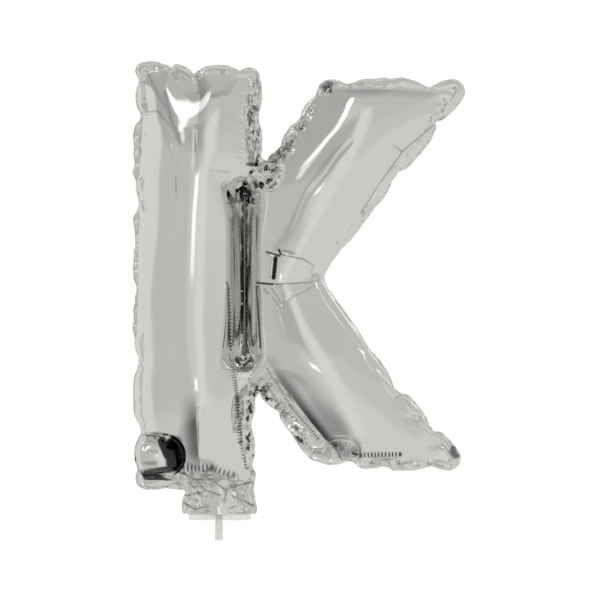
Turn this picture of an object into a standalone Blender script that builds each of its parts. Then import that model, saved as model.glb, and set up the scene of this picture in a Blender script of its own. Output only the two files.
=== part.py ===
# Letter foil balloon: an air-filled capital K made of two foil sheets welded together
# along their edges, with a film valve and a filling straw in the neck.
# Metres, +Z up, the front of the letter faces -Y. The origin is the middle of the neck's mouth.

import math

import bmesh
import bpy
import numpy as np
from mathutils.geometry import delaunay_2d_cdt

# Foil sheets
FOIL_WALL = 0.0010          # stands in for a film of about 0.03 mm
FULLNESS = 0.93             # depth of a stroke over its width
MESH_STEP = 0.0130          # spacing of the points inside a sheet
STROKE_RADIUS = 0.043       # half the width of a stroke
RING_ANGLES = (22, 45)      # degrees round a stroke's section, where rings of points lie
RING_STEP = 0.0070
RING_CLEARANCE = 0.97       # a ring's points keep this share of its depth to every weld
LATTICE_CLEARANCE = 0.55    # even points start this share of MESH_STEP inside the last ring

# Weld round the edge
WELD_THICK = 0.0010
WELD_WIDTH = 0.0045         # how far it stands out between two puckers
WELD_LEAST = 0.0015         # and at a pucker
WELD_DRAWN = 0.8            # width lost for each metre that a pucker is deep
WELD_TUCK = 0.0016          # how far it reaches in between the sheets
TUCK_THICK = 0.0006         # its thickness there
SEAT_GAP = 0.0003           # between pieces that touch
OUTLINE_STEP = 0.0012       # spacing of the outline while it is shaped
OUTLINE_LONGEST = 0.0110    # longest straight piece of the outline that is kept
OUTLINE_TOLERANCE = 0.0003
ARC_DEGREES = 24            # most turn from point to point round a corner
SAME_POINT = 1e-7

# Line weld between the stem and the limbs
STEM_WELD_X = 0.0210
STEM_WELD_LOW = 0.1225
STEM_WELD_HIGH = 0.2470
STEM_WELD_WIDTH = 0.0030

# Neck, valve film and straw. The neck's mouth is at z = 0
NECK_LEFT = -0.0246
NECK_RIGHT = 0.0254
NECK_FLAT_TO = 0.0150       # up to here the neck has its least depth
NECK_FULL_FROM = 0.0680     # and from here the stem has its full depth
NECK_FLATNESS = 0.25        # the neck's depth over that of a full stroke of its width
NECK_SIDE_FADE = 0.0120     # the stem regains its full depth over this width beside the neck
ON_MOUTH = 1e-6             # points no higher than this lie on the mouth
FILM_WALL = 0.0005
FILM_LEAST_WALL = 0.0004    # beside the straw, where the film is bent
FILM_LOW = -0.0062
FILM_HIGH = 0.0210
STRAW_RADIUS = 0.0031
STRAW_WALL = 0.00035
STRAW_LOW = -0.0218
STRAW_LENGTH = 0.1250
STRAW_SIDES = 24

# The weld line of the inflated letter, clockwise from the stem's top left corner.
# Columns: x, z, radius of the round corner
LETTER = (
    (-0.0622, 0.3480, 0.0100),   # stem, top left
    (0.0297, 0.3468, 0.0110),    # stem, top right
    (0.0297, 0.2580, 0.0060),    # notch between stem and upper limb
    (0.0822, 0.3343, 0.0080),    # upper limb, top left
    (0.1965, 0.3340, 0.0065),    # upper limb, tip
    (0.0738, 0.1829, 0.0080),    # crotch at the right
    (0.1112, 0.1232, 0.0500),    # lower limb, where its right edge bends outwards
    (0.1948, 0.0365, 0.0055),    # lower limb, tip
    (0.0755, 0.0350, 0.0080),    # lower limb, bottom left
    (0.0735, 0.0515, 0.0080),    # the same corner, its upper end
    (0.0247, 0.1014, 0.0058),    # notch between stem and lower limb
    (NECK_RIGHT, 0.0, 0.0),      # mouth of the neck
    (NECK_LEFT, 0.0, 0.0),
    (NECK_LEFT, 0.0225, 0.0060),   # root of the neck at its left
    (-0.0634, 0.0185, 0.0110),   # stem, bottom left
)

# Puckers, where the weld is gathered and drawn into the letter.
# Columns: x, z, depth
PUCKERS = (
    (-0.0625, 0.3350, 0.0022), (-0.0618, 0.3070, 0.0035), (-0.0618, 0.2430, 0.0035),
    (-0.0625, 0.1740, 0.0015), (-0.0625, 0.1170, 0.0040), (-0.0628, 0.0640, 0.0040),
    (-0.0628, 0.0300, 0.0025), (-0.0187, 0.3465, 0.0095), (0.0148, 0.3460, 0.0045),
    (0.0293, 0.3080, 0.0020), (0.0470, 0.2850, 0.0020), (0.0620, 0.3060, 0.0022),
    (0.0745, 0.3240, 0.0022), (0.1010, 0.3335, 0.0030), (0.1630, 0.3330, 0.0050),
    (0.1705, 0.3030, 0.0045), (0.1400, 0.2650, 0.0050), (0.1150, 0.2340, 0.0025),
    (0.0930, 0.2065, 0.0020), (0.1112, 0.1232, 0.0025), (0.1400, 0.0935, 0.0035),
    (0.1670, 0.0655, 0.0035), (0.1620, 0.0360, 0.0030), (0.1290, 0.0355, 0.0025),
    (0.1015, 0.0352, 0.0040), (0.0600, 0.0650, 0.0025), (0.0420, 0.0835, 0.0020),
    (0.0250, 0.0680, 0.0025), (0.0253, 0.0340, 0.0030),
)
PUCKER_REACH = 0.0048


def clear_scene():
    for obj in list(bpy.data.objects):
        bpy.data.objects.remove(obj)


def material(name, colour, roughness, metallic, alpha=1.0):
    made = bpy.data.materials.new(name)
    made.use_nodes = True
    shader = made.node_tree.nodes["Principled BSDF"]
    shader.inputs["Base Color"].default_value = (*colour, 1.0)
    shader.inputs["Roughness"].default_value = roughness
    shader.inputs["Metallic"].default_value = metallic
    shader.inputs["Alpha"].default_value = alpha
    return made


def add_object(name, points, faces, finish, smooth_angle=40):
    """One closed mesh as a named object, its normals turned outwards."""
    mesh = bpy.data.meshes.new(name)
    mesh.from_pydata([tuple(p) for p in points], [], [tuple(int(i) for i in f) for f in faces])
    shape = bmesh.new()
    shape.from_mesh(mesh)
    bmesh.ops.recalc_face_normals(shape, faces=shape.faces)
    shape.to_mesh(mesh)
    shape.free()
    mesh.shade_smooth()
    mesh.set_sharp_from_angle(angle=math.radians(smooth_angle))
    mesh.materials.append(finish)
    obj = bpy.data.objects.new(name, mesh)
    bpy.context.scene.collection.objects.link(obj)
    return obj


def round_corner(before, corner, after, radius):
    """The points of the arc that rounds one corner of an outline."""
    if radius == 0:
        return [corner]
    into = (before - corner) / np.linalg.norm(before - corner)
    out = (after - corner) / np.linalg.norm(after - corner)
    half = math.acos(np.clip(into @ out, -1, 1)) / 2
    start = corner + into * radius / math.tan(half)
    end = corner + out * radius / math.tan(half)
    middle = (into + out) / np.linalg.norm(into + out)
    centre = corner + middle * radius / math.sin(half)
    turn = math.pi - 2 * half
    steps = max(2, math.ceil(math.degrees(turn) / ARC_DEGREES))
    first, last = start - centre, end - centre
    shares = [
        (math.sin((1 - t) * turn) * first + math.sin(t * turn) * last) / math.sin(turn)
        for t in np.linspace(0, 1, steps + 1)
    ]
    return [centre + s for s in shares]


def evenly_filled(corners, step):
    """A closed outline with more points along its long sides."""
    filled = []
    for start, end in zip(corners, np.roll(corners, -1, axis=0)):
        pieces = max(1, round(np.linalg.norm(end - start) / step))
        filled += [start + (end - start) * i / pieces for i in range(pieces)]
    return np.array(filled)


def inward_normals(outline):
    """Unit normals that point into a clockwise outline."""
    along = np.roll(outline, -1, axis=0) - np.roll(outline, 1, axis=0)
    along /= np.linalg.norm(along, axis=1)[:, None]
    return np.stack([along[:, 1], -along[:, 0]], axis=1)


def pucker_strength(points):
    """How much each point is gathered: the pucker's depth at its middle, fading to nothing."""
    strength = np.zeros(len(points))
    for x, z, depth in PUCKERS:
        away = np.linalg.norm(points - (x, z), axis=1)
        strength = np.maximum(strength, depth * np.exp(-((away / PUCKER_REACH) ** 2)))
    return strength


def letter_outline():
    corners = np.array([(x, z) for x, z, _ in LETTER])
    rounded = []
    for i, (_, _, radius) in enumerate(LETTER):
        rounded += round_corner(corners[i - 1], corners[i], corners[(i + 1) % len(corners)], radius)
    return evenly_filled(np.array(rounded), OUTLINE_STEP)


def mouth_corners(line):
    """The indices of the outline's two points at the mouth's corners."""
    return [int(np.argmin(np.linalg.norm(line - (x, 0), axis=1))) for x in (NECK_LEFT, NECK_RIGHT)]


def needed_points(line, fixed):
    """The indices of a closed line's points that its shape needs, always with the fixed ones."""
    start = fixed[0]
    order = np.roll(np.arange(len(line)), -start)
    stops = {int((f - start) % len(line)) for f in fixed} | {len(line)}
    path = np.append(line[order], [line[start]], axis=0)
    kept, here = [], 0
    while here < len(line):
        kept.append(order[here])
        there = here + 1
        while there not in stops:
            chord = path[there + 1] - path[here]
            span = np.linalg.norm(chord)
            between = path[here + 1:there + 1] - path[here]
            off = np.abs(between @ np.array([-chord[1], chord[0]])) / span
            if span > OUTLINE_LONGEST or off.max() > OUTLINE_TOLERANCE:
                break
            there += 1
        here = there
    return np.array(kept)


def slot_outline(margin=0.0, ends=4):
    """The long narrow loop round the line weld beside the stem, anticlockwise."""
    radius = STEM_WELD_WIDTH / 2 + margin
    low, high = STEM_WELD_LOW + radius, STEM_WELD_HIGH - radius
    loop = []
    for centre, first in ((high, 0.0), (low, math.pi)):
        for k in range(ends + 1):
            angle = first + math.pi * k / ends
            loop.append((STEM_WELD_X + radius * math.cos(angle), centre + radius * math.sin(angle)))
    return evenly_filled(np.array(loop), OUTLINE_LONGEST)


def distance_to_loop(points, loop):
    ends = np.roll(loop, -1, axis=0)
    along = ends - loop
    length2 = (along ** 2).sum(1)
    offset = points[:, None, :] - loop[None]
    share = np.clip((offset * along).sum(2) / length2, 0, 1)
    return np.linalg.norm(offset - share[..., None] * along, axis=2).min(1)


def inside_loop(points, loop):
    """True for each point inside a closed loop, by counting crossings."""
    x, z = points[:, 0][:, None], points[:, 1][:, None]
    a, b = loop, np.roll(loop, -1, axis=0)
    straddles = (a[:, 1] > z) != (b[:, 1] > z)
    rise = np.where(b[:, 1] == a[:, 1], 1.0, b[:, 1] - a[:, 1])
    cross_x = a[:, 0] + (z - a[:, 1]) * (b[:, 0] - a[:, 0]) / rise
    return (straddles & (x < cross_x)).sum(1) % 2 == 1


def sheet_points(outline, slot):
    """Points for one sheet: rings just inside the weld, then an even lattice in the middle."""
    loops = (outline, slot)
    depths = [STROKE_RADIUS * (1 - math.cos(math.radians(a))) for a in RING_ANGLES]
    kept = []
    for depth in depths:
        ring = np.concatenate([
            outline + inward_normals(outline) * depth,
            slot + inward_normals(slot) * depth,
        ])
        away = np.min([distance_to_loop(ring, loop) for loop in loops], axis=0)
        clear = away > depth * RING_CLEARANCE
        ring = ring[clear & inside_loop(ring, outline) & ~inside_loop(ring, slot)]
        kept.append(thinned(ring, RING_STEP))
    low, high = outline.min(0), outline.max(0)
    rows = np.arange(low[1], high[1], MESH_STEP * math.sqrt(3) / 2)
    lattice = np.array([
        (x + (MESH_STEP / 2 if k % 2 else 0), z)
        for k, z in enumerate(rows)
        for x in np.arange(low[0], high[0], MESH_STEP)
    ])
    away = np.min([distance_to_loop(lattice, loop) for loop in loops], axis=0)
    inner = inside_loop(lattice, outline) & (away > depths[-1] + MESH_STEP * LATTICE_CLEARANCE)
    kept.append(lattice[inner])
    return np.concatenate(kept)


def thinned(points, least):
    """Points with no two closer than least."""
    kept = []
    for p in points:
        if not kept or np.linalg.norm(np.array(kept) - p, axis=1).min() > least:
            kept.append(p)
    return np.array(kept).reshape(-1, 2)


def triangulated(outline, slot, inner):
    """Triangles over the letter's flat outline, with the slot left open.

    The points of the outline and the slot come first. An edge that would join two of them across
    the sheet gets a point in its middle, so that the sheet rises from its weld everywhere.
    """
    n, m = len(outline), len(slot)
    rim_edges = [(i, (i + 1) % n) for i in range(n)] + [(n + i, n + (i + 1) % m) for i in range(m)]
    while True:
        points = np.concatenate([outline, slot, inner])
        made = delaunay_2d_cdt([tuple(p) for p in points], rim_edges, [], 0, SAME_POINT)
        flat = np.array([tuple(v) for v in made[0]])
        faces = np.array([f for f in made[2] if len(f) == 3])
        middles = flat[faces].mean(1)
        faces = faces[inside_loop(middles, outline) & ~inside_loop(middles, slot)]
        ends = np.concatenate([faces[:, [0, 1]], faces[:, [1, 2]], faces[:, [2, 0]]])
        edges, uses = np.unique(np.sort(ends, axis=1), axis=0, return_counts=True)
        across = edges[(uses == 2) & (edges < n + m).all(1)]
        if len(across) == 0:
            return flat, faces
        inner = np.concatenate([inner, flat[across].mean(1)])


def between_mouth_corners(points):
    """True for the points on the mouth where the two sheets aren't welded."""
    inner = (points[:, 0] > NECK_LEFT + ON_MOUTH) & (points[:, 0] < NECK_RIGHT - ON_MOUTH)
    return (points[:, 1] < ON_MOUTH) & inner


def neck_share(points):
    """Share of the full depth, from nearly flat at the neck to one in the stem above it."""
    t = np.clip((points[:, 1] - NECK_FLAT_TO) / (NECK_FULL_FROM - NECK_FLAT_TO), 0, 1)
    beside = np.clip((NECK_LEFT - points[:, 0]) / NECK_SIDE_FADE, 0, 1)
    t = np.maximum(t, np.maximum(beside, points[:, 0] > NECK_RIGHT))
    return NECK_FLATNESS + (1 - NECK_FLATNESS) * t * t * (3 - 2 * t)


def sheet_heights(flat, faces, rim_count):
    """Height of an inflated sheet over its weld.

    The membrane function u, with a Laplacian of -1 and 0 on the weld, is solved on the triangles.
    Over a straight stroke the root of 2u is a half circle, and it blends smoothly at the joins.
    """
    count = len(flat)
    stiffness, load = np.zeros((count, count)), np.zeros(count)
    for k in range(3):
        a, b, c = (faces[:, (k + j) % 3] for j in range(3))
        to_b, to_c = flat[b] - flat[a], flat[c] - flat[a]
        area2 = np.abs(to_b[:, 0] * to_c[:, 1] - to_b[:, 1] * to_c[:, 0])
        weight = (to_b * to_c).sum(1) / area2 / 2
        np.add.at(stiffness, (b, c), -weight)
        np.add.at(stiffness, (c, b), -weight)
        np.add.at(stiffness, (b, b), weight)
        np.add.at(stiffness, (c, c), weight)
        np.add.at(load, a, area2 / 6)
    free = (np.arange(count) >= rim_count) | between_mouth_corners(flat)
    solved = np.zeros(count)
    solved[free] = np.linalg.solve(stiffness[np.ix_(free, free)], load[free])
    return FULLNESS * np.sqrt(2 * np.maximum(solved, 0)) * neck_share(flat)


def boundary_edges(faces):
    ends = np.concatenate([faces[:, [0, 1]], faces[:, [1, 2]], faces[:, [2, 0]]])
    _, first, uses = np.unique(np.sort(ends, axis=1), axis=0, return_index=True, return_counts=True)
    return ends[first[uses == 1]]


def foil_sheet(name, flat, faces, heights, into, side, finish):
    """One foil sheet as a thin shell. side is -1 for the front and +1 for the back.

    into holds the directions from the weld into the sheet, for its first points.
    """
    seat = TUCK_THICK / 2 + SEAT_GAP
    outer = np.stack([flat[:, 0], side * (seat + heights), flat[:, 1]], axis=1)
    corner = outer[faces]
    tilt = np.cross(corner[:, 1] - corner[:, 0], corner[:, 2] - corner[:, 0])
    tilt *= np.sign(tilt[:, 1] * side)[:, None]
    normals = np.zeros_like(outer)
    for k in range(3):
        np.add.at(normals, faces[:, k], tilt)
    open_rim = between_mouth_corners(flat)
    normals[open_rim, 2] = 0
    welded = np.where(~open_rim[:len(into)])[0]
    normals[welded] = np.stack([-into[welded, 0], 0 * welded, -into[welded, 1]], axis=1)
    normals /= np.linalg.norm(normals, axis=1)[:, None]
    inner = outer - normals * FOIL_WALL
    inner[:, 1] = side * np.maximum(side * inner[:, 1], seat)
    count = len(outer)
    shell = [tuple(f) for f in faces] + [tuple(f[::-1] + count) for f in faces]
    for a, b in boundary_edges(faces):
        shell += [(b, a, a + count), (b, a + count, b + count)]
    return add_object(name, np.concatenate([outer, inner]), shell, finish)


def edge_weld(line, normals, gathered, finish):
    """The welded edge, standing out in scallops between the puckers and open at the mouth.

    The part between the sheets is thinner, with a step just outside them.
    """
    width = np.clip(WELD_WIDTH - WELD_DRAWN * gathered, WELD_LEAST, WELD_WIDTH)
    left, right = mouth_corners(line)
    order = np.roll(np.arange(len(line)), -left)[:(right - left) % len(line) + 1]
    sideways = normals[order]
    outer = line[order] - sideways * width[order][:, None]
    step = line[order] - sideways * SEAT_GAP
    inner = line[order] + sideways * WELD_TUCK
    thick, thin = WELD_THICK / 2, TUCK_THICK / 2
    loops = ((outer, -thick), (outer, thick), (step, thick), (step, thin))
    loops += ((inner, thin), (inner, -thin), (step, -thin), (step, -thick))
    points = [(x, y, z) for loop, y in loops for x, z in loop]
    n, m = len(order), len(loops)
    faces = [
        (k * n + i, k * n + i + 1, (k + 1) % m * n + i + 1, (k + 1) % m * n + i)
        for k in range(m)
        for i in range(n - 1)
    ]
    faces += [tuple(k * n + i for k in range(m)) for i in (0, n - 1)]
    return add_object("edge_weld", points, faces, finish, 30)


def stem_weld(finish):
    """The flat line weld that parts the stem from the limbs."""
    loop = slot_outline(margin=WELD_TUCK)
    half = TUCK_THICK / 2
    n = len(loop)
    points = [(x, y, z) for y in (-half, half) for x, z in loop]
    faces = [tuple(range(n)), tuple(range(n, 2 * n))]
    faces += [(i, (i + 1) % n, n + (i + 1) % n, n + i) for i in range(n)]
    return add_object("stem_weld", points, faces, finish, 30)


def film_height(x, clearance):
    """Distance of a valve film from the middle plane: flat at the sides, arched over the straw."""
    radius = STRAW_RADIUS + clearance
    return np.maximum(clearance / 2, np.sqrt(np.maximum(radius ** 2 - x ** 2, 0)))


def valve_film(name, side, finish):
    """One clear strip of the valve, lying along one side of the straw."""
    edges = (NECK_LEFT + WELD_TUCK + SEAT_GAP, NECK_RIGHT - WELD_TUCK - SEAT_GAP)
    arch = STRAW_RADIUS + SEAT_GAP + FILM_WALL
    over = arch * np.sin(np.radians(np.arange(-90, 91, 18)))
    across = np.concatenate([[edges[0], edges[0] / 2], over, [edges[1] / 2, edges[1]]])
    near = film_height(across, SEAT_GAP)
    far = np.maximum(film_height(across, SEAT_GAP + FILM_WALL), near + FILM_LEAST_WALL)
    n = len(across)
    points = [
        (x, side * y, z)
        for z in (FILM_LOW, FILM_HIGH)
        for row in (near, far)
        for x, y in zip(across, row)
    ]
    faces = []
    for i in range(n - 1):
        faces += [(i, i + 1, n + i + 1, n + i), (2 * n + i, 2 * n + i + 1, 3 * n + i + 1, 3 * n + i)]
        faces += [(i, i + 1, 2 * n + i + 1, 2 * n + i), (n + i, n + i + 1, 3 * n + i + 1, 3 * n + i)]
    faces += [(0, n, 3 * n, 2 * n), (n - 1, 2 * n - 1, 4 * n - 1, 3 * n - 1)]
    return add_object(name, points, faces, finish)


def straw(finish):
    """A thin tube, open at both ends, with its object's origin on its axis at the lower end."""
    angles = np.linspace(0, 2 * math.pi, STRAW_SIDES, endpoint=False)
    bore = STRAW_RADIUS - STRAW_WALL
    section = ((STRAW_RADIUS, 0.0), (STRAW_RADIUS, STRAW_LENGTH), (bore, STRAW_LENGTH), (bore, 0.0))
    points = [(r * math.cos(a), r * math.sin(a), z) for r, z in section for a in angles]
    faces = []
    for k in range(4):
        here, there = k * STRAW_SIDES, (k + 1) % 4 * STRAW_SIDES
        for i in range(STRAW_SIDES):
            j = (i + 1) % STRAW_SIDES
            faces.append((here + i, here + j, there + j, there + i))
    obj = add_object("filling_straw", points, faces, finish)
    obj.location = (0, 0, STRAW_LOW)
    return obj


def main():
    clear_scene()
    foil = material("silver_foil", (0.78, 0.78, 0.76), 0.12, 1.0)
    weld = material("welded_foil", (0.74, 0.74, 0.72), 0.22, 1.0)
    film = material("clear_film", (0.86, 0.86, 0.84), 0.15, 0.0, 0.5)
    plastic = material("straw_plastic", (0.72, 0.72, 0.70), 0.35, 0.0)

    base = letter_outline()
    gathered = pucker_strength(base)
    normals = inward_normals(base)
    line = base + normals * gathered[:, None]
    kept = needed_points(line, mouth_corners(base))
    line, normals, gathered = line[kept], normals[kept], gathered[kept]
    for corner, way in zip(mouth_corners(line), (1, -1)):
        normals[corner] = (way, 0)
    slot = slot_outline()
    into = np.concatenate([normals, inward_normals(slot)])
    flat, faces = triangulated(line, slot, sheet_points(line, slot))
    heights = sheet_heights(flat, faces, len(into))

    foil_sheet("front_foil", flat, faces, heights, into, -1, foil)
    foil_sheet("back_foil", flat, faces, heights, into, 1, foil)
    edge_weld(line, normals, gathered, weld)
    stem_weld(weld)
    valve_film("valve_film_front", -1, film)
    valve_film("valve_film_back", 1, film)
    straw(plastic)


main()
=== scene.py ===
# Letter foil balloon: the look of every piece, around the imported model.
# Metres, +Z up, the letter's front faces -Y, the origin is the middle of the neck's mouth.

import math

import bpy
import numpy as np
from mathutils.geometry import delaunay_2d_cdt
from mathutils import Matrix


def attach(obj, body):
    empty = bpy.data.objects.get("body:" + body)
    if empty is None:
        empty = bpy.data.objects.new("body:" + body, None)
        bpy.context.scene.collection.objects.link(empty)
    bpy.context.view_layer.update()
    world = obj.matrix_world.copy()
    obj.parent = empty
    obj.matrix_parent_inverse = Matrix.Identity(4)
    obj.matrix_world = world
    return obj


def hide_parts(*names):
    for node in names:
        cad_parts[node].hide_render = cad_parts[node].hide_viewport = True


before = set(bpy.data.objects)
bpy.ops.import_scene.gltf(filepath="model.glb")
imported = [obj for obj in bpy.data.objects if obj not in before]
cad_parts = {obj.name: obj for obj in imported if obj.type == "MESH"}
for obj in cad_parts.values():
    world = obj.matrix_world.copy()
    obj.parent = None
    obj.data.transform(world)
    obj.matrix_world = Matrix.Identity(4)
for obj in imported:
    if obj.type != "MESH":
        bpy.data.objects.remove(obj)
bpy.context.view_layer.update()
print("frame loaded:", sorted(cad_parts))


# Outlines

# One row for each corner, clockwise, of the flat cut and of the filled letter's weld line. The filled
# columns were chosen one by one. The flat columns, and the line weld's flat values below, are the rounded
# result of a separate fitting program, which tried flat cuts in a simulation until the outline fitted.
# Columns: flat x, flat z, flat corner radius, filled x, filled z, filled corner radius
letterCorners = np.array((
    (-0.0760, 0.3560, 0.006, -0.0622, 0.3480, 0.0100),   # stem, top left
    (-0.0170, 0.3690, 0.200, -0.0180, 0.3475, 0.2000),   # middle of the stem's top
    (0.0335, 0.3617, 0.006, 0.0297, 0.3468, 0.0110),     # stem, top right
    (0.0535, 0.2866, 0.004, 0.0297, 0.2580, 0.0060),     # notch over the line weld
    (0.1123, 0.3530, 0.006, 0.0822, 0.3343, 0.0080),     # upper limb, top left
    (0.1723, 0.3635, 0.200, 0.1400, 0.3342, 0.2000),     # middle of its top
    (0.2323, 0.3576, 0.010, 0.1965, 0.3340, 0.0065),     # upper limb, tip
    (0.1831, 0.2665, 0.200, 0.1420, 0.2670, 0.2000),     # middle of its lower side
    (0.1300, 0.1846, 0.006, 0.0738, 0.1829, 0.0080),     # crotch between the limbs
    (0.1777, 0.0978, 0.200, 0.1360, 0.0975, 0.2000),     # middle of the lower limb's upper side
    (0.2249, 0.0092, 0.010, 0.1948, 0.0365, 0.0055),     # lower limb, tip
    (0.1657, 0.0107, 0.200, 0.1350, 0.0358, 0.2000),     # middle of its bottom
    (0.0968, 0.0302, 0.006, 0.0745, 0.0400, 0.0080),     # lower limb, bottom left
    (0.0751, 0.0592, 0.200, 0.0490, 0.0765, 0.2000),     # middle of its left side
    (0.0486, 0.0942, 0.004, 0.0247, 0.1014, 0.0058),     # notch under the line weld
    (0.0400, 0.0239, 0.010, 0.0250, 0.0300, 0.0100),     # shoulder over the neck
    (0.0340, 0.0138, 0.006, 0.0252, 0.0150, 0.0060),     # root of the neck, right
    (0.0343, -0.0064, 0.0, 0.0254, 0.0, 0.0),            # mouth, right
    (-0.0242, -0.0060, 0.0, -0.0246, 0.0, 0.0),          # mouth, left
    (-0.0286, 0.0152, 0.006, -0.0246, 0.0225, 0.0060),   # root of the neck, left
    (-0.0740, 0.0150, 0.008, -0.0640, 0.0160, 0.0150),   # stem, bottom left
    (-0.0780, 0.1009, 0.200, -0.0631, 0.1000, 0.2000),   # stem's left side, low
    (-0.0780, 0.2592, 0.200, -0.0626, 0.2600, 0.2000),   # stem's left side, high
))
mouthRight, mouthLeft = 17, 18

# Where the weld is gathered and drawn into the letter. Columns: x, z, depth
gathers = np.array((
    # stem's left side, downwards
    (-0.0625, 0.3350, 0.0022), (-0.0618, 0.3070, 0.0035), (-0.0618, 0.2430, 0.0035),
    (-0.0625, 0.1740, 0.0015), (-0.0625, 0.1170, 0.0040), (-0.0628, 0.0640, 0.0060),
    (-0.0628, 0.0300, 0.0035),
    # its top
    (-0.0375, 0.3480, 0.0010), (-0.0187, 0.3465, 0.0095), (0.0148, 0.3460, 0.0045),
    # upper notch
    (0.0293, 0.3080, 0.0020), (0.0470, 0.2850, 0.0020), (0.0620, 0.3060, 0.0022), (0.0745, 0.3240, 0.0022),
    # upper limb's top and lower side
    (0.1010, 0.3335, 0.0030), (0.1630, 0.3330, 0.0050), (0.1705, 0.3030, 0.0045), (0.1400, 0.2650, 0.0050),
    (0.1150, 0.2340, 0.0025), (0.0930, 0.2065, 0.0020),
    # lower limb's upper side and bottom
    (0.1112, 0.1232, 0.0025), (0.1400, 0.0935, 0.0035), (0.1670, 0.0655, 0.0035), (0.1620, 0.0360, 0.0030),
    (0.1290, 0.0355, 0.0025), (0.1015, 0.0352, 0.0040),
    # lower notch
    (0.0600, 0.0650, 0.0025), (0.0420, 0.0835, 0.0020), (0.0250, 0.0680, 0.0025), (0.0253, 0.0340, 0.0030),
))
gatherReach = 0.0065

# Where the flat weld strip shows wide beside the filled sheets. Columns: x, z, half length
wideStrips = np.array(((-0.0640, 0.2850, 0.0280), (-0.0640, 0.1850, 0.0500)))
wideFade = 0.006

# The straight line weld between the stem and the limbs, flat and filled
lineWeld = {"flatX": 0.0415, "flatLow": 0.1258, "flatHigh": 0.2510, "flatWidth": 0.0030,
            "x": 0.0200, "low": 0.1225, "high": 0.2470, "width": 0.0008}


# Polygon corners (x, z, radius) replaced by arcs; also the middle point of each arc.
def roundedOutline(corners, degreesPerPoint=20):
    points, middles = [], []
    for i, (x, z, radius) in enumerate(corners):
        corner = np.array((x, z))
        into = corners[i - 1, :2] - corner
        out = corners[(i + 1) % len(corners), :2] - corner
        into, out = into / np.linalg.norm(into), out / np.linalg.norm(out)
        if radius == 0 or into @ out < -0.9999:
            points.append(corner[None])
            middles.append(corner)
            continue
        half = math.acos(np.clip(into @ out, -1, 1)) / 2
        middle = (into + out) / np.linalg.norm(into + out)
        centre = corner + middle * radius / math.sin(half)
        first = corner + into * radius / math.tan(half) - centre
        last = corner + out * radius / math.tan(half) - centre
        turn = math.pi - 2 * half
        t = np.linspace(0, 1, max(2, math.ceil(math.degrees(turn) / degreesPerPoint)) + 1)[:, None]
        arc = (np.sin((1 - t) * turn) * first + np.sin(t * turn) * last) / math.sin(turn)
        points.append(centre + arc)
        middles.append(centre - middle * radius)
    return np.concatenate(points), np.array(middles)


# Running length at each point of a closed line, and at its return to the start.
def lengthsAlong(line):
    return np.concatenate([[0], np.cumsum(np.linalg.norm(np.roll(line, -1, 0) - line, axis=1))])


# Points of a closed line at given running lengths.
def pointAt(line, lengths, s):
    closed = np.vstack([line, line[:1]])
    s = s % lengths[-1]
    return np.stack([np.interp(s, lengths, closed[:, k]) for k in range(line.shape[1])], axis=1)


# For each point, the distance to a closed line and the running length of the nearest place. It takes some
# thousands of points at once, to spare memory.
def nearestOn(points, line, atOnce=4000):
    ends = np.roll(line, -1, 0)
    along = ends - line
    length2 = (along ** 2).sum(1)
    lengths = lengthsAlong(line)
    distance, station = np.empty(len(points)), np.empty(len(points))
    for start in range(0, len(points), atOnce):
        now = slice(start, start + atOnce)
        part = points[now, None] - line[None]
        share = np.clip((part * along).sum(2) / length2, 0, 1)
        away = np.linalg.norm(part - share[..., None] * along, axis=2)
        k = away.argmin(1)
        row = np.arange(len(k))
        distance[now] = away[row, k]
        station[now] = lengths[k] + share[row, k] * np.sqrt(length2[k])
    return distance, station


# True for points inside a closed line, by counting crossings.
def insideOf(points, line):
    a, b = line, np.roll(line, -1, 0)
    rise = np.where(b[:, 1] == a[:, 1], 1, b[:, 1] - a[:, 1])
    x, z = points[:, :1], points[:, 1:2]
    straddles = (a[:, 1] > z) != (b[:, 1] > z)
    return (straddles & (x < a[:, 0] + (z - a[:, 1]) * (b[:, 0] - a[:, 0]) / rise)).sum(1) % 2 == 1


# Unit vectors across a closed clockwise line, towards its inside
def inwardNormals(line):
    along = np.roll(line, -1, 0) - np.roll(line, 1, 0)
    along /= np.linalg.norm(along, axis=1)[:, None]
    return np.stack([along[:, 1], -along[:, 0]], axis=1)


# 1 within the wide stretches of the weld strip, 0 away from them
def wideShare(places):
    away = np.linalg.norm(places[:, None] - wideStrips[None, :, :2], axis=2)
    return np.clip((wideStrips[:, 2] - away) / wideFade, 0, 1).max(1)


# The foil sheets: a flat cut of two films, welded along the edge and filled by simulation

sheetCut = {"step": 0.0050, "clearance": 0.6, "startHeight": 0.0040, "startReach": 0.02,
            "unevenness": 0.00008, "seed": 3}
filling = {"frames": 24, "drawFrames": 8, "hold": 0.8, "gathering": 1.7, "outset": 0.0022}
clothSettings = {"quality": 8, "mass": 0.01, "air_damping": 1, "bending_model": "ANGULAR",
                 "tension_stiffness": 60, "compression_stiffness": 60, "shear_stiffness": 30,
                 "bending_stiffness": 5, "tension_damping": 5, "compression_damping": 5, "shear_damping": 5,
                 "bending_damping": 0.5, "vertex_group_mass": "weld", "pin_stiffness": 5,
                 "use_pressure": True, "uniform_pressure_force": 60}


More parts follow.
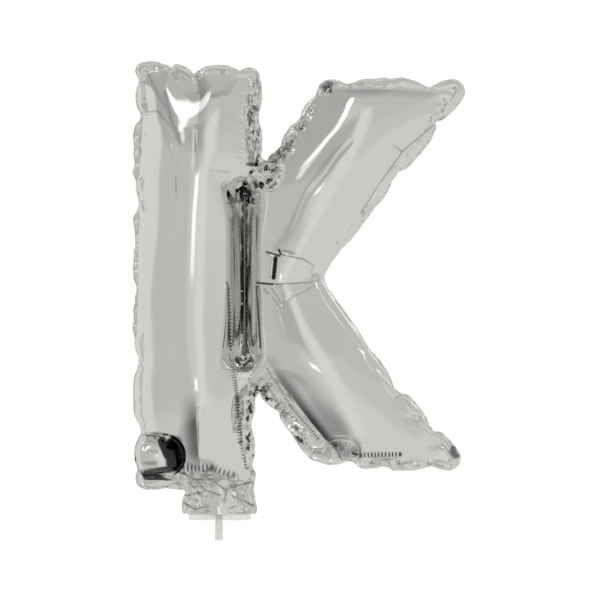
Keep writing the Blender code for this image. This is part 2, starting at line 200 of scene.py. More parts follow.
# The filled letter's weld line, one point for each point of the flat outline. Between two corners of
# the table, equal shares of the flat length and of the filled length belong together. Each gather then
# pulls the line inwards as a smooth bell.
def filledLine(flatLine):
    flat, flatMiddles = roundedOutline(letterCorners[:, :3])
    filled, filledMiddles = roundedOutline(letterCorners[:, 3:])
    flatLengths, filledLengths = lengthsAlong(flat), lengthsAlong(filled)
    flatStations = nearestOn(flatMiddles, flat)[1]
    filledStations = nearestOn(filledMiddles, filled)[1]
    flatStations = np.append(flatStations, flatStations[0] + flatLengths[-1])
    filledStations = np.append(filledStations, filledStations[0] + filledLengths[-1])
    s = nearestOn(flatLine, flat)[1]
    s = np.where(s < flatStations[0], s + flatLengths[-1], s)
    line = pointAt(filled, filledLengths, np.interp(s, flatStations, filledStations))
    away = np.linalg.norm(line[:, None] - gathers[None, :, :2], axis=2)
    depth = (gathers[:, 2] * np.exp(-(away / gatherReach) ** 2)).max(1) * filling["gathering"]
    outset = filling["outset"] * (1 - wideShare(line))
    return line + inwardNormals(line) * (depth - outset)[:, None]


# Flat cut as triangles: the outline, both sides of the line weld, and an even lattice.
def cutSheet():
    step = sheetCut["step"]
    outline = roundedOutline(letterCorners[:, :3])[0]
    lengths = lengthsAlong(outline)
    count = round(lengths[-1] / step)
    rim = pointAt(outline, lengths, np.arange(count) * lengths[-1] / count)
    side = round((lineWeld["flatHigh"] - lineWeld["flatLow"]) / step) + 1
    z = np.linspace(lineWeld["flatLow"], lineWeld["flatHigh"], side)
    half = lineWeld["flatWidth"] / 2
    right = np.stack([np.full(side, lineWeld["flatX"] + half), z], axis=1)
    left = np.stack([np.full(side, lineWeld["flatX"] - half), z], axis=1)
    slit = np.concatenate([right, left[::-1]])
    low, high = rim.min(0), rim.max(0)
    rows = np.arange(low[1], high[1], step * math.sqrt(3) / 2)
    columns = np.arange(low[0], high[0], step)
    gridZ, gridX = np.meshgrid(rows, columns, indexing="ij")
    gridX = gridX + (np.arange(len(rows)) % 2)[:, None] * step / 2
    lattice = np.stack([gridX.ravel(), gridZ.ravel()], axis=1)
    away = np.minimum(nearestOn(lattice, rim)[0], nearestOn(lattice, slit)[0])
    clear = away > step * sheetCut["clearance"]
    lattice = lattice[clear & insideOf(lattice, rim) & ~insideOf(lattice, slit)]
    n, m = len(rim), len(slit)
    edges = [(i, (i + 1) % n) for i in range(n)] + [(n + i, n + (i + 1) % m) for i in range(m)]
    points = np.concatenate([rim, slit, lattice])
    made = delaunay_2d_cdt(points.tolist(), edges, [], 0, 1e-8)
    flat, faces = np.array([tuple(v) for v in made[0]]), np.array(made[2])
    middles = flat[faces].mean(1)
    faces = faces[insideOf(middles, rim) & ~insideOf(middles, slit)]
    a, b, c = (flat[faces[:, k]] for k in range(3))
    turned = (b[:, 0] - a[:, 0]) * (c[:, 1] - a[:, 1]) < (b[:, 1] - a[:, 1]) * (c[:, 0] - a[:, 0])
    faces[turned] = faces[turned][:, ::-1]
    return flat, faces, n, m


# Where the points of the two welds go when the letter is filled, in x and z.
def filledGoal(flat, n, m):
    goal = flat.copy()
    goal[:n] = filledLine(flat[:n])
    z = np.linspace(lineWeld["low"], lineWeld["high"], m // 2)
    goal[n:n + m, 0] = lineWeld["x"] + np.repeat((0.5, -0.5), m // 2) * lineWeld["width"]
    goal[n:n + m, 1] = np.concatenate([z, z[::-1]])
    return goal


# Front and back sheet as cloth under pressure, their welds drawn to the filled line. Returns the filled
# points of the front and of the back; both start with the welds' points.
def fillBySimulation(flat, faces, n, m):
    count, rim = len(flat), n + m
    backIndex = np.concatenate([np.arange(rim), np.arange(count, 2 * count - rim)])
    away = np.minimum(nearestOn(flat, flat[:n])[0], nearestOn(flat, flat[n:rim])[0])
    height = sheetCut["startHeight"] * np.sqrt(np.clip(away / sheetCut["startReach"], 0, 1))
    front = np.stack([flat[:, 0], -height, flat[:, 1]], axis=1)
    back = np.stack([flat[rim:, 0], height[rim:], flat[rim:, 1]], axis=1)
    points = np.concatenate([front, back])
    points[:, 1] += np.random.default_rng(sheetCut["seed"]).normal(0, sheetCut["unevenness"], len(points))
    half = m // 2
    k = np.arange(half - 1)
    strip = np.stack([n + k, n + k + 1, n + m - 2 - k, n + m - 1 - k], axis=1)
    mesh = bpy.data.meshes.new("filling")
    backFaces = backIndex[faces][:, ::-1]
    mesh.from_pydata(points.tolist(), [], faces.tolist() + backFaces.tolist() + strip.tolist())
    obj = bpy.data.objects.new("filling", mesh)
    bpy.context.scene.collection.objects.link(obj)
    goal = points.copy()
    goal[:rim, [0, 2]] = filledGoal(flat, n, m)[:rim]
    goal[:rim, 1] = 0
    obj.shape_key_add(name="flat")
    drawn = obj.shape_key_add(name="drawn")
    drawn.data.foreach_set("co", goal.ravel())
    drawn.value = 0
    drawn.keyframe_insert("value", frame=1)
    drawn.value = 1
    drawn.keyframe_insert("value", frame=1 + filling["drawFrames"])
    held = obj.vertex_groups.new(name="weld")
    held.add(list(range(rim)), filling["hold"], "REPLACE")
    cloth = obj.modifiers.new("film", "CLOTH")
    for setting, value in clothSettings.items():
        setattr(cloth.settings, setting, value)
    cloth.settings.effector_weights.gravity = 0
    cloth.collision_settings.use_collision = False
    cloth.collision_settings.use_self_collision = False
    cloth.point_cache.frame_start = 1
    cloth.point_cache.frame_end = filling["frames"] + 1
    scene = bpy.context.scene
    for number in range(1, filling["frames"] + 1):
        scene.frame_set(number)
    shaped = obj.evaluated_get(bpy.context.evaluated_depsgraph_get())
    filled = np.empty(len(points) * 3)
    shaped.data.vertices.foreach_get("co", filled)
    filled = filled.reshape(-1, 3)
    bpy.data.objects.remove(obj)
    bpy.data.meshes.remove(mesh)
    scene.frame_set(1)
    return filled[:count], filled[backIndex]


# Mesh arithmetic

# Each edge once, the faces' edge numbers, and how many faces use each edge.
def edgesOf(faces):
    ends = np.sort(faces[:, [0, 1, 1, 2, 2, 0]].reshape(-1, 2), axis=1)
    edges, number, uses = np.unique(ends, axis=0, return_inverse=True, return_counts=True)
    return edges, number.reshape(-1, 3), uses


# Sums of the values' rows that have the same index
def summedAt(index, values, count):
    return np.stack([np.bincount(index, values[:, k], count) for k in range(values.shape[1])], axis=1)


# Low-pass filter: passes towards the neighbours' mean, each followed by a slightly larger one away from
# it. Points on the rim stay.
def smoothed(points, faces, rounds, shrink=0.5, grow=-0.52):
    edges, _, uses = edgesOf(faces)
    a, b = np.concatenate([edges, edges[:, ::-1]]).T
    degree = np.bincount(a, minlength=len(points))[:, None]
    free = np.ones(len(points), bool)
    free[edges[uses == 1].ravel()] = False
    result = points.copy()
    for share in (shrink, grow) * rounds:
        step = summedAt(a, result[b], len(points)) / degree - result
        result[free] += share * step[free]
    return result


# One subdivision by Loop's rule: each triangle becomes four, and points move to weighted means of their
# neighbours; the rim follows the rule for curves.
def refined(points, faces):
    edges, number, uses = edgesOf(faces)
    count = len(points)
    a, b = edges.T
    rimEdge = uses == 1
    middle = (points[a] + points[b]) / 2
    opposite = summedAt(number.ravel(), points[faces[:, [2, 0, 1]].ravel()], len(edges))
    middle[~rimEdge] = 0.75 * middle[~rimEdge] + 0.125 * opposite[~rimEdge]
    both, other = np.concatenate([a, b]), np.concatenate([b, a])
    degree = np.bincount(both, minlength=count)[:, None]
    beta = (0.625 - (0.375 + 0.25 * np.cos(2 * np.pi / degree)) ** 2) / degree
    moved = (1 - degree * beta) * points + beta * summedAt(both, points[other], count)
    ends = np.concatenate([edges[rimEdge], edges[rimEdge][:, ::-1]])
    beside = summedAt(ends[:, 0], points[ends[:, 1]], count)
    onRim = np.bincount(ends[:, 0], minlength=count) > 0
    moved[onRim] = 0.75 * points[onRim] + 0.125 * beside[onRim]
    new = number + count
    p, q, r = faces.T
    s, t, u = new.T
    split = np.concatenate([np.stack(f, axis=1) for f in ((p, s, u), (s, q, t), (u, t, r), (s, t, u))])
    return np.concatenate([moved, middle]), split


# Splits only the chosen triangles. Each of their edges gets a middle point, apart from the rim's, and a
# triangle with one, two or three such edges becomes two, three or four.
def splitWhere(points, faces, chosen):
    edges, number, uses = edgesOf(faces)
    marked = np.zeros(len(edges), bool)
    marked[number[chosen].ravel()] = True
    marked[uses == 1] = False
    at = np.where(marked, np.cumsum(marked) - 1 + len(points), -1)
    middle = at[number]
    kinds = (middle >= 0).sum(1)
    turn = np.where(kinds == 1, (middle >= 0).argmax(1), (middle >= 0).argmin(1) + 1)
    order = (np.arange(3) + turn[:, None]) % 3
    p, q, r = np.take_along_axis(faces, order, 1).T
    s, t, u = np.take_along_axis(middle, order, 1).T
    split = [faces[kinds == 0]]
    for kind, triangles in ((1, ((p, s, r), (s, q, r))), (2, ((s, q, t), (p, s, t), (p, t, r))),
                            (3, ((p, s, u), (s, q, t), (u, t, r), (s, t, u)))):
        split += [np.stack(corners, axis=1)[kinds == kind] for corners in triangles]
    return np.concatenate([points, points[edges[marked]].mean(1)]), np.concatenate(split)


# Unit normals at the points, each the mean of its triangles' weighted by their size
def vertexNormals(points, faces):
    corner = points[faces]
    across = np.cross(corner[:, 1] - corner[:, 0], corner[:, 2] - corner[:, 0])
    normals = sum(summedAt(faces[:, k], across, len(points)) for k in range(3))
    return normals / np.maximum(np.linalg.norm(normals, axis=1), 1e-12)[:, None]


# A mesh object at the origin from arrays; shares are values at the points that its material reads.
def addPiece(name, points, faces, finish, body, slot, uv=None, **shares):
    loops = faces.ravel().astype(np.int32)
    mesh = bpy.data.meshes.new(name)
    mesh.vertices.add(len(points))
    mesh.vertices.foreach_set("co", points.astype(np.float32).ravel())
    mesh.loops.add(len(loops))
    mesh.loops.foreach_set("vertex_index", loops)
    mesh.polygons.add(len(faces))
    mesh.polygons.foreach_set("loop_start", np.arange(0, len(loops), faces.shape[1], dtype=np.int32))
    mesh.update(calc_edges=True)
    mesh.validate()
    if uv is not None:
        layer = mesh.uv_layers.new(name="film")
        layer.data.foreach_set("uv", uv[loops].astype(np.float32).ravel())
    for label, values in shares.items():
        share = mesh.attributes.new(label, "FLOAT", "POINT")
        share.data.foreach_set("value", values.astype(np.float32))
    mesh.shade_smooth()
    mesh.materials.append(finish)
    obj = bpy.data.objects.new(name, mesh)
    bpy.context.scene.collection.objects.link(obj)
    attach(obj, body)
    print("piece", name, len(points), "points")
    return obj


# Quads between successive rings of points; each ring is closed, and the last ring joins the first.
def tubeFaces(rings, around):
    ring, turn = np.meshgrid(np.arange(rings), np.arange(around), indexing="ij")
    nextRing, nextTurn = (ring + 1) % rings, (turn + 1) % around
    return np.stack([ring * around + turn, ring * around + nextTurn, nextRing * around + nextTurn,
                     nextRing * around + turn], axis=-1).reshape(-1, 4)


# A closed thin shell between two equal grids of points: their faces and the wall round their border.
def gridShell(near, far):
    number = np.arange(near.shape[0] * near.shape[1]).reshape(near.shape[:2])
    quads = np.stack([number[:-1, :-1], number[:-1, 1:], number[1:, 1:], number[1:, :-1]], axis=-1)
    quads = quads.reshape(-1, 4)
    border = np.concatenate([number[0, :-1], number[:-1, -1], number[-1, :0:-1], number[:0:-1, 0]])
    after = np.roll(border, -1)
    wall = np.stack([after, border, border + number.size, after + number.size], axis=1)
    shell = np.concatenate([quads, quads[:, ::-1] + number.size, wall])
    points = np.concatenate([near.reshape(-1, 3), far.reshape(-1, 3)])
    corner = points[shell]
    volume = (corner[:, 0] * np.cross(corner[:, 1], corner[:, 2])).sum()
    return points, shell if volume > 0 else shell[:, ::-1]


# Loop's rule for a closed curve: old points move to 1/8, 3/4, 1/8, new ones are the middles.
def curveRefined(line):
    moved = 0.75 * line + 0.125 * (np.roll(line, 1, 0) + np.roll(line, -1, 0))
    middle = (line + np.roll(line, -1, 0)) / 2
    return np.stack([moved, middle], axis=1).reshape(-1, line.shape[1])


# Materials

# A new node group with named inputs (label, kind, value) and outputs (label, kind), and its two end nodes
def nodeGroup(name, inputs, outputs):
    group = bpy.data.node_groups.new(name, "ShaderNodeTree")
    for label, kind, value in inputs:
        socket = group.interface.new_socket(label, in_out="INPUT", socket_type=kind)
        if value is not None:
            socket.default_value = value
    for label, kind in outputs:
        group.interface.new_socket(label, in_out="OUTPUT", socket_type=kind)
    return group, group.nodes.new("NodeGroupInput"), group.nodes.new("NodeGroupOutput")


# A node with its settings, and with its inputs joined to sockets or set to values
def node(tree, kind, values=None, **settings):
    made = tree.nodes.new(kind)
    for key, value in settings.items():
        setattr(made, key, value)
    for key, value in (values or {}).items():
        if isinstance(value, bpy.types.NodeSocket):
            tree.links.new(value, made.inputs[key])
        else:
            made.inputs[key].default_value = value
    return made


# Result of arithmetic on numbers
def numbers(tree, operation, *values):
    return node(tree, "ShaderNodeMath", dict(enumerate(values)), operation=operation).outputs[0]


# Result of arithmetic on vectors, a number for a dot product or a distance
def vectors(tree, operation, *values):
    made = node(tree, "ShaderNodeVectorMath", dict(enumerate(values)), operation=operation)
    return made.outputs["Value" if operation in ("DOT_PRODUCT", "DISTANCE") else "Vector"]


# A value between two others, at a share of the way
def between(tree, share, first, last):
    return node(tree, "ShaderNodeMix", {0: share, 2: first, 3: last}).outputs[0]


# A colour between two others, at a share of the way
def mixedColour(tree, share, first, last):
    return node(tree, "ShaderNodeMix", {0: share, 6: first, 7: last}, data_type="RGBA").outputs[2]


# 0 at low and 1 at high, a smooth cubic or a straight line between; low may be the greater
def rising(tree, value, low, high, kind="SMOOTHSTEP"):
    return node(tree, "ShaderNodeMapRange", {"Value": value, "From Min": low, "From Max": high},
                interpolation_type=kind).outputs["Result"]


# Height and tone of metallised film: fine pebbling from the weld's heat and slow flow marks
def makeFilmGrain():
    group, given, result = nodeGroup(
        "filmGrain",
        [("Vector", "NodeSocketVector", None), ("Fine Size", "NodeSocketFloat", 900.0),
         ("Broad Size", "NodeSocketFloat", 45.0)],
        [("Height", "NodeSocketFloat"), ("Tone", "NodeSocketFloat")])
    fine, broad = (
        node(group, "ShaderNodeTexNoise", {"Vector": given.outputs["Vector"], "Scale": given.outputs[size],
             "Detail": detail, "Roughness": rough}).outputs["Fac"]
        for size, detail, rough in (("Fine Size", 2.0, 0.5), ("Broad Size", 3.0, 0.55)))
    height = numbers(group, "MULTIPLY_ADD", fine, 0.02, numbers(group, "MULTIPLY", broad, 0.8))
    group.links.new(height, result.inputs["Height"])
    group.links.new(broad, result.inputs["Tone"])
    return group


filmGrain = makeFilmGrain()


# Crumpled film: flat facets, one in each Voronoi cell, each with a tilt of its own. Height is in metres, and
# shade is a painted dark reflection on a random share of the cells: 0 on those and 1 on the rest.
def makeFilmFacetsWithPaintedShade():
    group, given, result = nodeGroup(
        "filmFacetsWithPaintedShade",
        [("Vector", "NodeSocketVector", None), ("Scale", "NodeSocketFloat", 220.0),
         ("Tilt", "NodeSocketFloat", 1.0)],
        [("Height", "NodeSocketFloat"), ("Shade", "NodeSocketFloat")])
    cells = node(group, "ShaderNodeTexVoronoi", {"Vector": given.outputs["Vector"],
                 "Scale": given.outputs["Scale"]}, voronoi_dimensions="3D", feature="F1").outputs
    place = vectors(group, "SUBTRACT", given.outputs["Vector"], cells["Position"])
    lean = vectors(group, "SUBTRACT", cells["Color"], (0.5, 0.5, 0.5))
    height = numbers(group, "MULTIPLY", vectors(group, "DOT_PRODUCT", place, lean), given.outputs["Tilt"])
    group.links.new(height, result.inputs["Height"])
    chance = node(group, "ShaderNodeSeparateColor", {0: cells["Color"]}).outputs[2]
    group.links.new(rising(group, chance, 0.05, 0.36, "LINEAR"), result.inputs["Shade"])
    return group


filmFacetsWithPaintedShade = makeFilmFacetsWithPaintedShade()


# Shade along one straight fold, from its start over a way. It is full up to a share of its reach, the core,
# and gone at the reach, which may differ on the two sides. Its amount runs from one value to another. Ticks
# cut it into short strokes, and an uneven value shifts them. Measure is the way over its square, so that its
# dot product with a place is the share of the way. The greater of this shade and the one before goes out.
def makeFoldShade():
    labels = ("Left", "Right", "From", "To", "Core", "Uneven", "Ticks", "Before")
    group, given, result = nodeGroup(
        "foldShade",
        [(label, "NodeSocketVector", None) for label in ("Vector", "Start", "Way", "Measure", "Across")]
        + [(label, "NodeSocketFloat", 0.0) for label in labels],
        [("Shade", "NodeSocketFloat")])
    place = given.outputs
    off = vectors(group, "SUBTRACT", place["Vector"], place["Start"])
    share = vectors(group, "DOT_PRODUCT", off, place["Measure"])
    share = node(group, "ShaderNodeClamp", {0: share}).outputs[0]
    along = node(group, "ShaderNodeVectorMath", {0: place["Way"], "Scale": share}, operation="SCALE")
    away = vectors(group, "DISTANCE", off, along.outputs[0])
    onLeft = numbers(group, "GREATER_THAN", vectors(group, "DOT_PRODUCT", off, place["Across"]), 0.0)
    reach = between(group, onLeft, place["Right"], place["Left"])
    near = rising(group, numbers(group, "DIVIDE", away, reach), 1.0, place["Core"])
    amount = between(group, share, place["From"], place["To"])
    shifted = numbers(group, "MULTIPLY", place["Uneven"], numbers(group, "MINIMUM", place["Ticks"], 2.4))
    turns = numbers(group, "MULTIPLY", share, place["Ticks"])
    turns = numbers(group, "MULTIPLY_ADD", turns, 2 * math.pi, shifted)
    stroke = rising(group, numbers(group, "COSINE", turns), -0.2, 0.6)
    shade = numbers(group, "MULTIPLY", numbers(group, "MULTIPLY", near, amount), stroke)
    group.links.new(numbers(group, "MAXIMUM", shade, place["Before"]), result.inputs["Shade"])
    return group


foldShade = makeFoldShade()

# Lines of painted shade on the front where film lies against film in a fold, and of painted dark reflection
# where a wall reflects what is dark. Each has its reach to the left and to the right of its run, its core,
# the
# ticks in each piece and its places: x, z, amount.
paintedFoldShades = (
    # line weld: where its walls meet, and the dark lines of their reflections
    (0.0011, 0.0011, 0.2, 0, ((0.0187, 0.1920, 0.95), (0.0195, 0.1650, 0.95))),
    (0.0009, 0.0009, 0.2, 0, ((0.0160, 0.2430, 0.35), (0.0187, 0.1920, 0.75))),
    (0.0009, 0.0009, 0.2, 0, ((0.0234, 0.2430, 0.35), (0.0187, 0.1920, 0.75))),
    (0.0010, 0.0010, 0.2, 0, ((0.0195, 0.1650, 0.80), (0.0156, 0.1300, 0.70))),
    (0.0010, 0.0010, 0.2, 0, ((0.0195, 0.1650, 0.80), (0.0242, 0.1300, 0.70))),
    (0.0020, 0.0020, 0.2, 0, ((0.0148, 0.2300, 0.25), (0.0150, 0.1340, 0.30))),
    (0.0020, 0.0020, 0.2, 0, ((0.0250, 0.2300, 0.25), (0.0250, 0.1340, 0.25))),
    (0.0007, 0.0007, 0.2, 0, ((0.0078, 0.1780, 0.80), (0.0094, 0.1270, 0.90))),
    (0.0009, 0.0009, 0.3, 18, ((0.0088, 0.1740, 0.95), (0.0102, 0.1270, 0.95))),
    (0.0011, 0.0008, 0.3, 0, ((0.0296, 0.1760, 0.80), (0.0328, 0.1290, 1.00))),
    # bridge between the limbs
    (0.0020, 0.0020, 0.6, 0, ((0.0445, 0.1975, 1.00), (0.0430, 0.1825, 1.00))),
    (0.0013, 0.0010, 0.3, 0, ((0.0374, 0.2022, 0.85), (0.0476, 0.1990, 1.00))),
    (0.0008, 0.0008, 0.2, 0, ((0.0476, 0.2005, 0.65), (0.0663, 0.1966, 0.60), (0.0745, 0.1912, 0.35))),
    (0.0012, 0.0012, 0.3, 0, ((0.0470, 0.2040, 1.00), (0.0484, 0.2005, 1.00))),
    (0.0012, 0.0010, 0.3, 0, ((0.0300, 0.1786, 0.90), (0.0425, 0.1774, 1.00))),
    (0.0008, 0.0008, 0.2, 0, ((0.0425, 0.1774, 0.65), (0.0554, 0.1780, 0.55), (0.0730, 0.1794, 0.35))),
    (0.0009, 0.0009, 0.1, 0, ((0.0351, 0.1745, 0.40), (0.0480, 0.1615, 0.15))),
    (0.0009, 0.0009, 0.1, 0, ((0.0413, 0.1745, 0.45), (0.0510, 0.1600, 0.20))),
    (0.0008, 0.0008, 0.1, 0, ((0.0507, 0.1638, 0.35), (0.0741, 0.1763, 0.30))),
    (0.0009, 0.0009, 0.1, 0, ((0.0725, 0.1905, 0.25), (0.0725, 0.1790, 0.25))),
    (0.0010, 0.0010, 0.2, 7, ((0.0414, 0.1975, 0.40), (0.0399, 0.1825, 0.40))),
    # upper limb: beside its long fold, and the crinkle at its lower side
    (0.0030, 0.0090, 0.0, 0, ((0.0440, 0.2050, 0.15), (0.0555, 0.2220, 0.22), (0.0688, 0.2512, 0.22),
                              (0.0868, 0.2746, 0.25), (0.0992, 0.2878, 0.05))),
    (0.0008, 0.0008, 0.2, 0, ((0.1330, 0.2850, 0.10), (0.1420, 0.2800, 0.65))),
    (0.0012, 0.0006, 0.1, 0, ((0.1747, 0.3081, 0.35), (0.1427, 0.2808, 0.50), (0.1250, 0.2560, 0.40),
                              (0.1100, 0.2330, 0.45))),
    (0.0008, 0.0075, 0.1, 0, ((0.1020, 0.3268, 0.22), (0.1180, 0.3272, 0.30), (0.1640, 0.3262, 0.15))),
    # lower limb: the valley on its left side, its beads, the bulb's facet and the ticks over its bottom
    (0.0105, 0.0006, 0.1, 0, ((0.0406, 0.1154, 0.20), (0.0484, 0.1030, 0.62), (0.0601, 0.0874, 0.75),
                              (0.0718, 0.0718, 0.95), (0.0827, 0.0585, 0.90))),
    (0.0016, 0.0016, 0.2, 16, ((0.0385, 0.1120, 0.60), (0.0560, 0.0840, 0.75))),
    (0.0016, 0.0016, 0.2, 15, ((0.0560, 0.0840, 0.75), (0.0770, 0.0590, 0.80))),
    (0.0060, 0.0060, 0.2, 0, ((0.0925, 0.0530, 0.62), (0.0985, 0.0470, 0.55), (0.1040, 0.0480, 0.40))),
    (0.0009, 0.0009, 0.2, 0, ((0.0880, 0.0550, 0.70), (0.0960, 0.0415, 0.75), (0.1075, 0.0450, 0.40))),
    (0.0030, 0.0030, 0.3, 11, ((0.1105, 0.0457, 0.90), (0.1400, 0.0462, 0.90))),
    (0.0008, 0.0008, 0.2, 0, ((0.1370, 0.0890, 0.30), (0.1440, 0.0940, 0.70))),
    # stem's foot: the dark band, the wedge beside the bulb and the folds round it
    (0.0006, 0.0150, 0.1, 0, ((-0.0160, 0.0950, 0.00), (-0.0160, 0.0710, 0.80), (-0.0150, 0.0500, 0.72),
                              (-0.0140, 0.0400, 0.45))),
    (0.0006, 0.0060, 0.1, 0, ((-0.0162, 0.0860, 0.00), (-0.0162, 0.0690, 0.70), (-0.0152, 0.0540, 0.70))),
    (0.0092, 0.0068, 0.7, 0, ((-0.0345, 0.0540, 0.98), (-0.0338, 0.0400, 0.98))),
    (0.0040, 0.0040, 0.6, 0, ((-0.0430, 0.0570, 0.95), (-0.0380, 0.0460, 0.98))),
    (0.0044, 0.0034, 0.6, 0, ((-0.0580, 0.0312, 0.80), (-0.0360, 0.0350, 0.98))),
    (0.0010, 0.0010, 0.2, 0, ((-0.0610, 0.0612, 0.40), (-0.0450, 0.0604, 0.75))),
    (0.0018, 0.0006, 0.3, 0, ((-0.0600, 0.0240, 0.10), (-0.0540, 0.0195, 0.75), (-0.0400, 0.0200, 0.65),
                              (-0.0330, 0.0240, 0.10))),
    # beads over the neck and beside the stem
    (0.0048, 0.0048, 0.3, 9, ((-0.0325, 0.0362, 0.80), (-0.0055, 0.0359, 0.80))),
    (0.0038, 0.0038, 0.3, 5, ((-0.0055, 0.0350, 0.70), (0.0110, 0.0300, 0.60))),
    (0.0026, 0.0026, 0.3, 14, ((0.0112, 0.1180, 0.50), (0.0150, 0.0900, 0.85), (0.0172, 0.0560, 0.80))),
    (0.0018, 0.0018, 0.2, 8, ((0.0172, 0.0560, 0.70), (0.0215, 0.0350, 0.70))),
    (0.0010, 0.0010, 0.2, 0, ((0.0140, 0.1030, 0.50), (0.0160, 0.0750, 0.60), (0.0190, 0.0500, 0.40))),
    # folds of the neck
    (0.0012, 0.0022, 0.2, 0, ((-0.0317, 0.0345, 0.60), (-0.0187, 0.0270, 0.50), (0.0008, 0.0250, 0.30))),
    (0.0010, 0.0018, 0.2, 0, ((-0.0070, 0.0272, 0.45), (0.0060, 0.0172, 0.50), (0.0045, 0.0068, 0.25))),
    (0.0010, 0.0016, 0.2, 0, ((-0.0252, 0.0133, 0.60), (-0.0096, 0.0172, 0.35), (0.0008, 0.0140, 0.50))),
    (0.0010, 0.0018, 0.2, 0, ((0.0086, 0.0197, 0.45), (0.0255, 0.0240, 0.65))),
    (0.0014, 0.0010, 0.2, 0, ((-0.0273, 0.0075, 0.65), (-0.0200, 0.0030, 0.50), (-0.0070, 0.0035, 0.15))),
    (0.0012, 0.0012, 0.2, 0, ((0.0138, 0.0119, 0.30), (0.0275, 0.0050, 0.65))),
    # stem's top
    (0.0008, 0.0040, 0.1, 0, ((-0.0400, 0.3250, 0.25), (-0.0350, 0.3050, 0.30), (-0.0270, 0.2860, 0.30))),
    (0.0090, 0.0008, 0.2, 0, ((-0.0130, 0.3310, 0.20), (-0.0130, 0.3210, 0.42), (-0.0150, 0.3000, 0.20),
                              (-0.0155, 0.2700, 0.10))),
    (0.0060, 0.0007, 0.1, 0, ((-0.0175, 0.3390, 0.30), (-0.0130, 0.3230, 0.32), (-0.0030, 0.3205, 0.30),
                              (0.0080, 0.3240, 0.25), (0.0150, 0.3350, 0.05))),
    (0.0030, 0.0008, 0.1, 0, ((-0.0560, 0.3420, 0.20), (-0.0476, 0.3252, 0.28), (-0.0400, 0.3120, 0.20))),
    (0.0008, 0.0016, 0.1, 0, ((-0.0600, 0.3112, 0.25), (-0.0460, 0.3108, 0.35), (-0.0273, 0.2880, 0.15))),
    (0.0009, 0.0009, 0.1, 0, ((-0.0313, 0.2600, 0.20), (-0.0311, 0.2520, 0.45), (-0.0311, 0.2440, 0.10))),
    (0.0008, 0.0008, 0.2, 0, ((-0.0164, 0.2900, 0.40), (-0.0166, 0.2780, 0.40))),
    (0.0006, 0.0030, 0.0, 0, ((-0.0035, 0.2645, 0.08), (0.0090, 0.2638, 0.25))),
)


# The greatest painted shade of all the painted fold lines, at an object's x and z
def addPaintedFoldShades(tree, place):
    flat = vectors(tree, "MULTIPLY", place, (1.0, 0.0, 1.0))
    patchy = node(tree, "ShaderNodeTexNoise", {"Vector": flat, "Scale": 330.0, "Detail": 1.0})
    uneven = numbers(tree, "SUBTRACT", patchy.outputs["Fac"], 0.5)
    shade = 0.0
    for left, right, core, ticks, through in paintedFoldShades:
        for (x, z, amount), (nextX, nextZ, nextAmount) in zip(through[:-1], through[1:]):
            way = np.array((nextX - x, 0, nextZ - z))
            values = {"Vector": flat, "Start": (x, 0, z), "Way": way, "Measure": way / (way @ way),
                      "Across": (-way[2], 0, way[0]), "Left": left, "Right": right, "Core": core,
                      "From": amount, "To": nextAmount, "Uneven": uneven, "Ticks": float(ticks),
                      "Before": shade}
            shade = node(tree, "ShaderNodeGroup", values, node_tree=foldShade).outputs["Shade"]
    return shade


# The fold colour is what painted shade and painted dark reflections draw the foil towards
foilLook = {"dark": (0.80, 0.80, 0.785, 1), "light": (0.86, 0.86, 0.845, 1), "fold": (0.03, 0.03, 0.03, 1),
            "smooth": 0.035, "dull": 0.075, "bump": 0.12, "bumpHeight": 0.0003,
            "facetScale": 230.0, "facetTilt": 2.2}


# Metallised film. The points' crumple gives it facets, some with painted dark reflection, and the points'
# painted shadow and the painted fold lines darken it.
def foilMaterial(name, look, folded=False):
    made = bpy.data.materials.new(name)
    made.use_nodes = True
    tree = made.node_tree
    shader = tree.nodes["Principled BSDF"]
    shader.inputs["Metallic"].default_value = 1.0
    place = node(tree, "ShaderNodeTexCoord").outputs["Object"]
    crumple, shadow = (node(tree, "ShaderNodeAttribute", attribute_name=share).outputs["Fac"]
                       for share in ("crumple", "shadow"))
    grain = node(tree, "ShaderNodeGroup", {"Vector": place}, node_tree=filmGrain).outputs
    facets = node(tree, "ShaderNodeGroup", {"Vector": place, "Scale": look["facetScale"],
                  "Tilt": look["facetTilt"]}, node_tree=filmFacetsWithPaintedShade).outputs
    rough = node(tree, "ShaderNodeMapRange", {"Value": grain["Tone"], "To Min": look["smooth"],
                 "To Max": look["dull"]})
    tree.links.new(rough.outputs["Result"], shader.inputs["Roughness"])
    # Painted shade: dark reflection painted on a random share of the crumpled facets, the points' painted
    # shadow and, for the front's foil, the painted fold lines. It draws the colour towards the fold colour.
    paintedShade = numbers(tree, "MULTIPLY", numbers(tree, "MULTIPLY_ADD", facets["Shade"], -1.0, 1.0), crumple)
    paintedShade = numbers(tree, "MAXIMUM", paintedShade, shadow)
    if folded:
        paintedShade = numbers(tree, "MAXIMUM", paintedShade, addPaintedFoldShades(tree, place))
    colour = mixedColour(tree, grain["Tone"], look["dark"], look["light"])
    colour = mixedColour(tree, paintedShade, colour, look["fold"])
    tree.links.new(colour, shader.inputs["Base Color"])
    bump = node(tree, "ShaderNodeBump", {"Height": grain["Height"], "Strength": look["bump"],
                "Distance": look["bumpHeight"]})
    bump = node(tree, "ShaderNodeBump", {"Height": facets["Height"], "Strength": crumple, "Distance": 1.0,
                "Normal": bump.outputs["Normal"]})
    tree.links.new(bump.outputs["Normal"], shader.inputs["Normal"])
    return made


silverFoil = foilMaterial("silverFoil", foilLook)
# The front's foil also carries the painted shade and painted reflections of the fold lines
foilWithPaintedFolds = foilMaterial("foilWithPaintedFolds", foilLook, True)
weldedFoil = foilMaterial("weldedFoil", {**foilLook, "smooth": 0.06, "dull": 0.14, "bump": 0.3,
                                         "facetScale": 380.0, "facetTilt": 0.9})


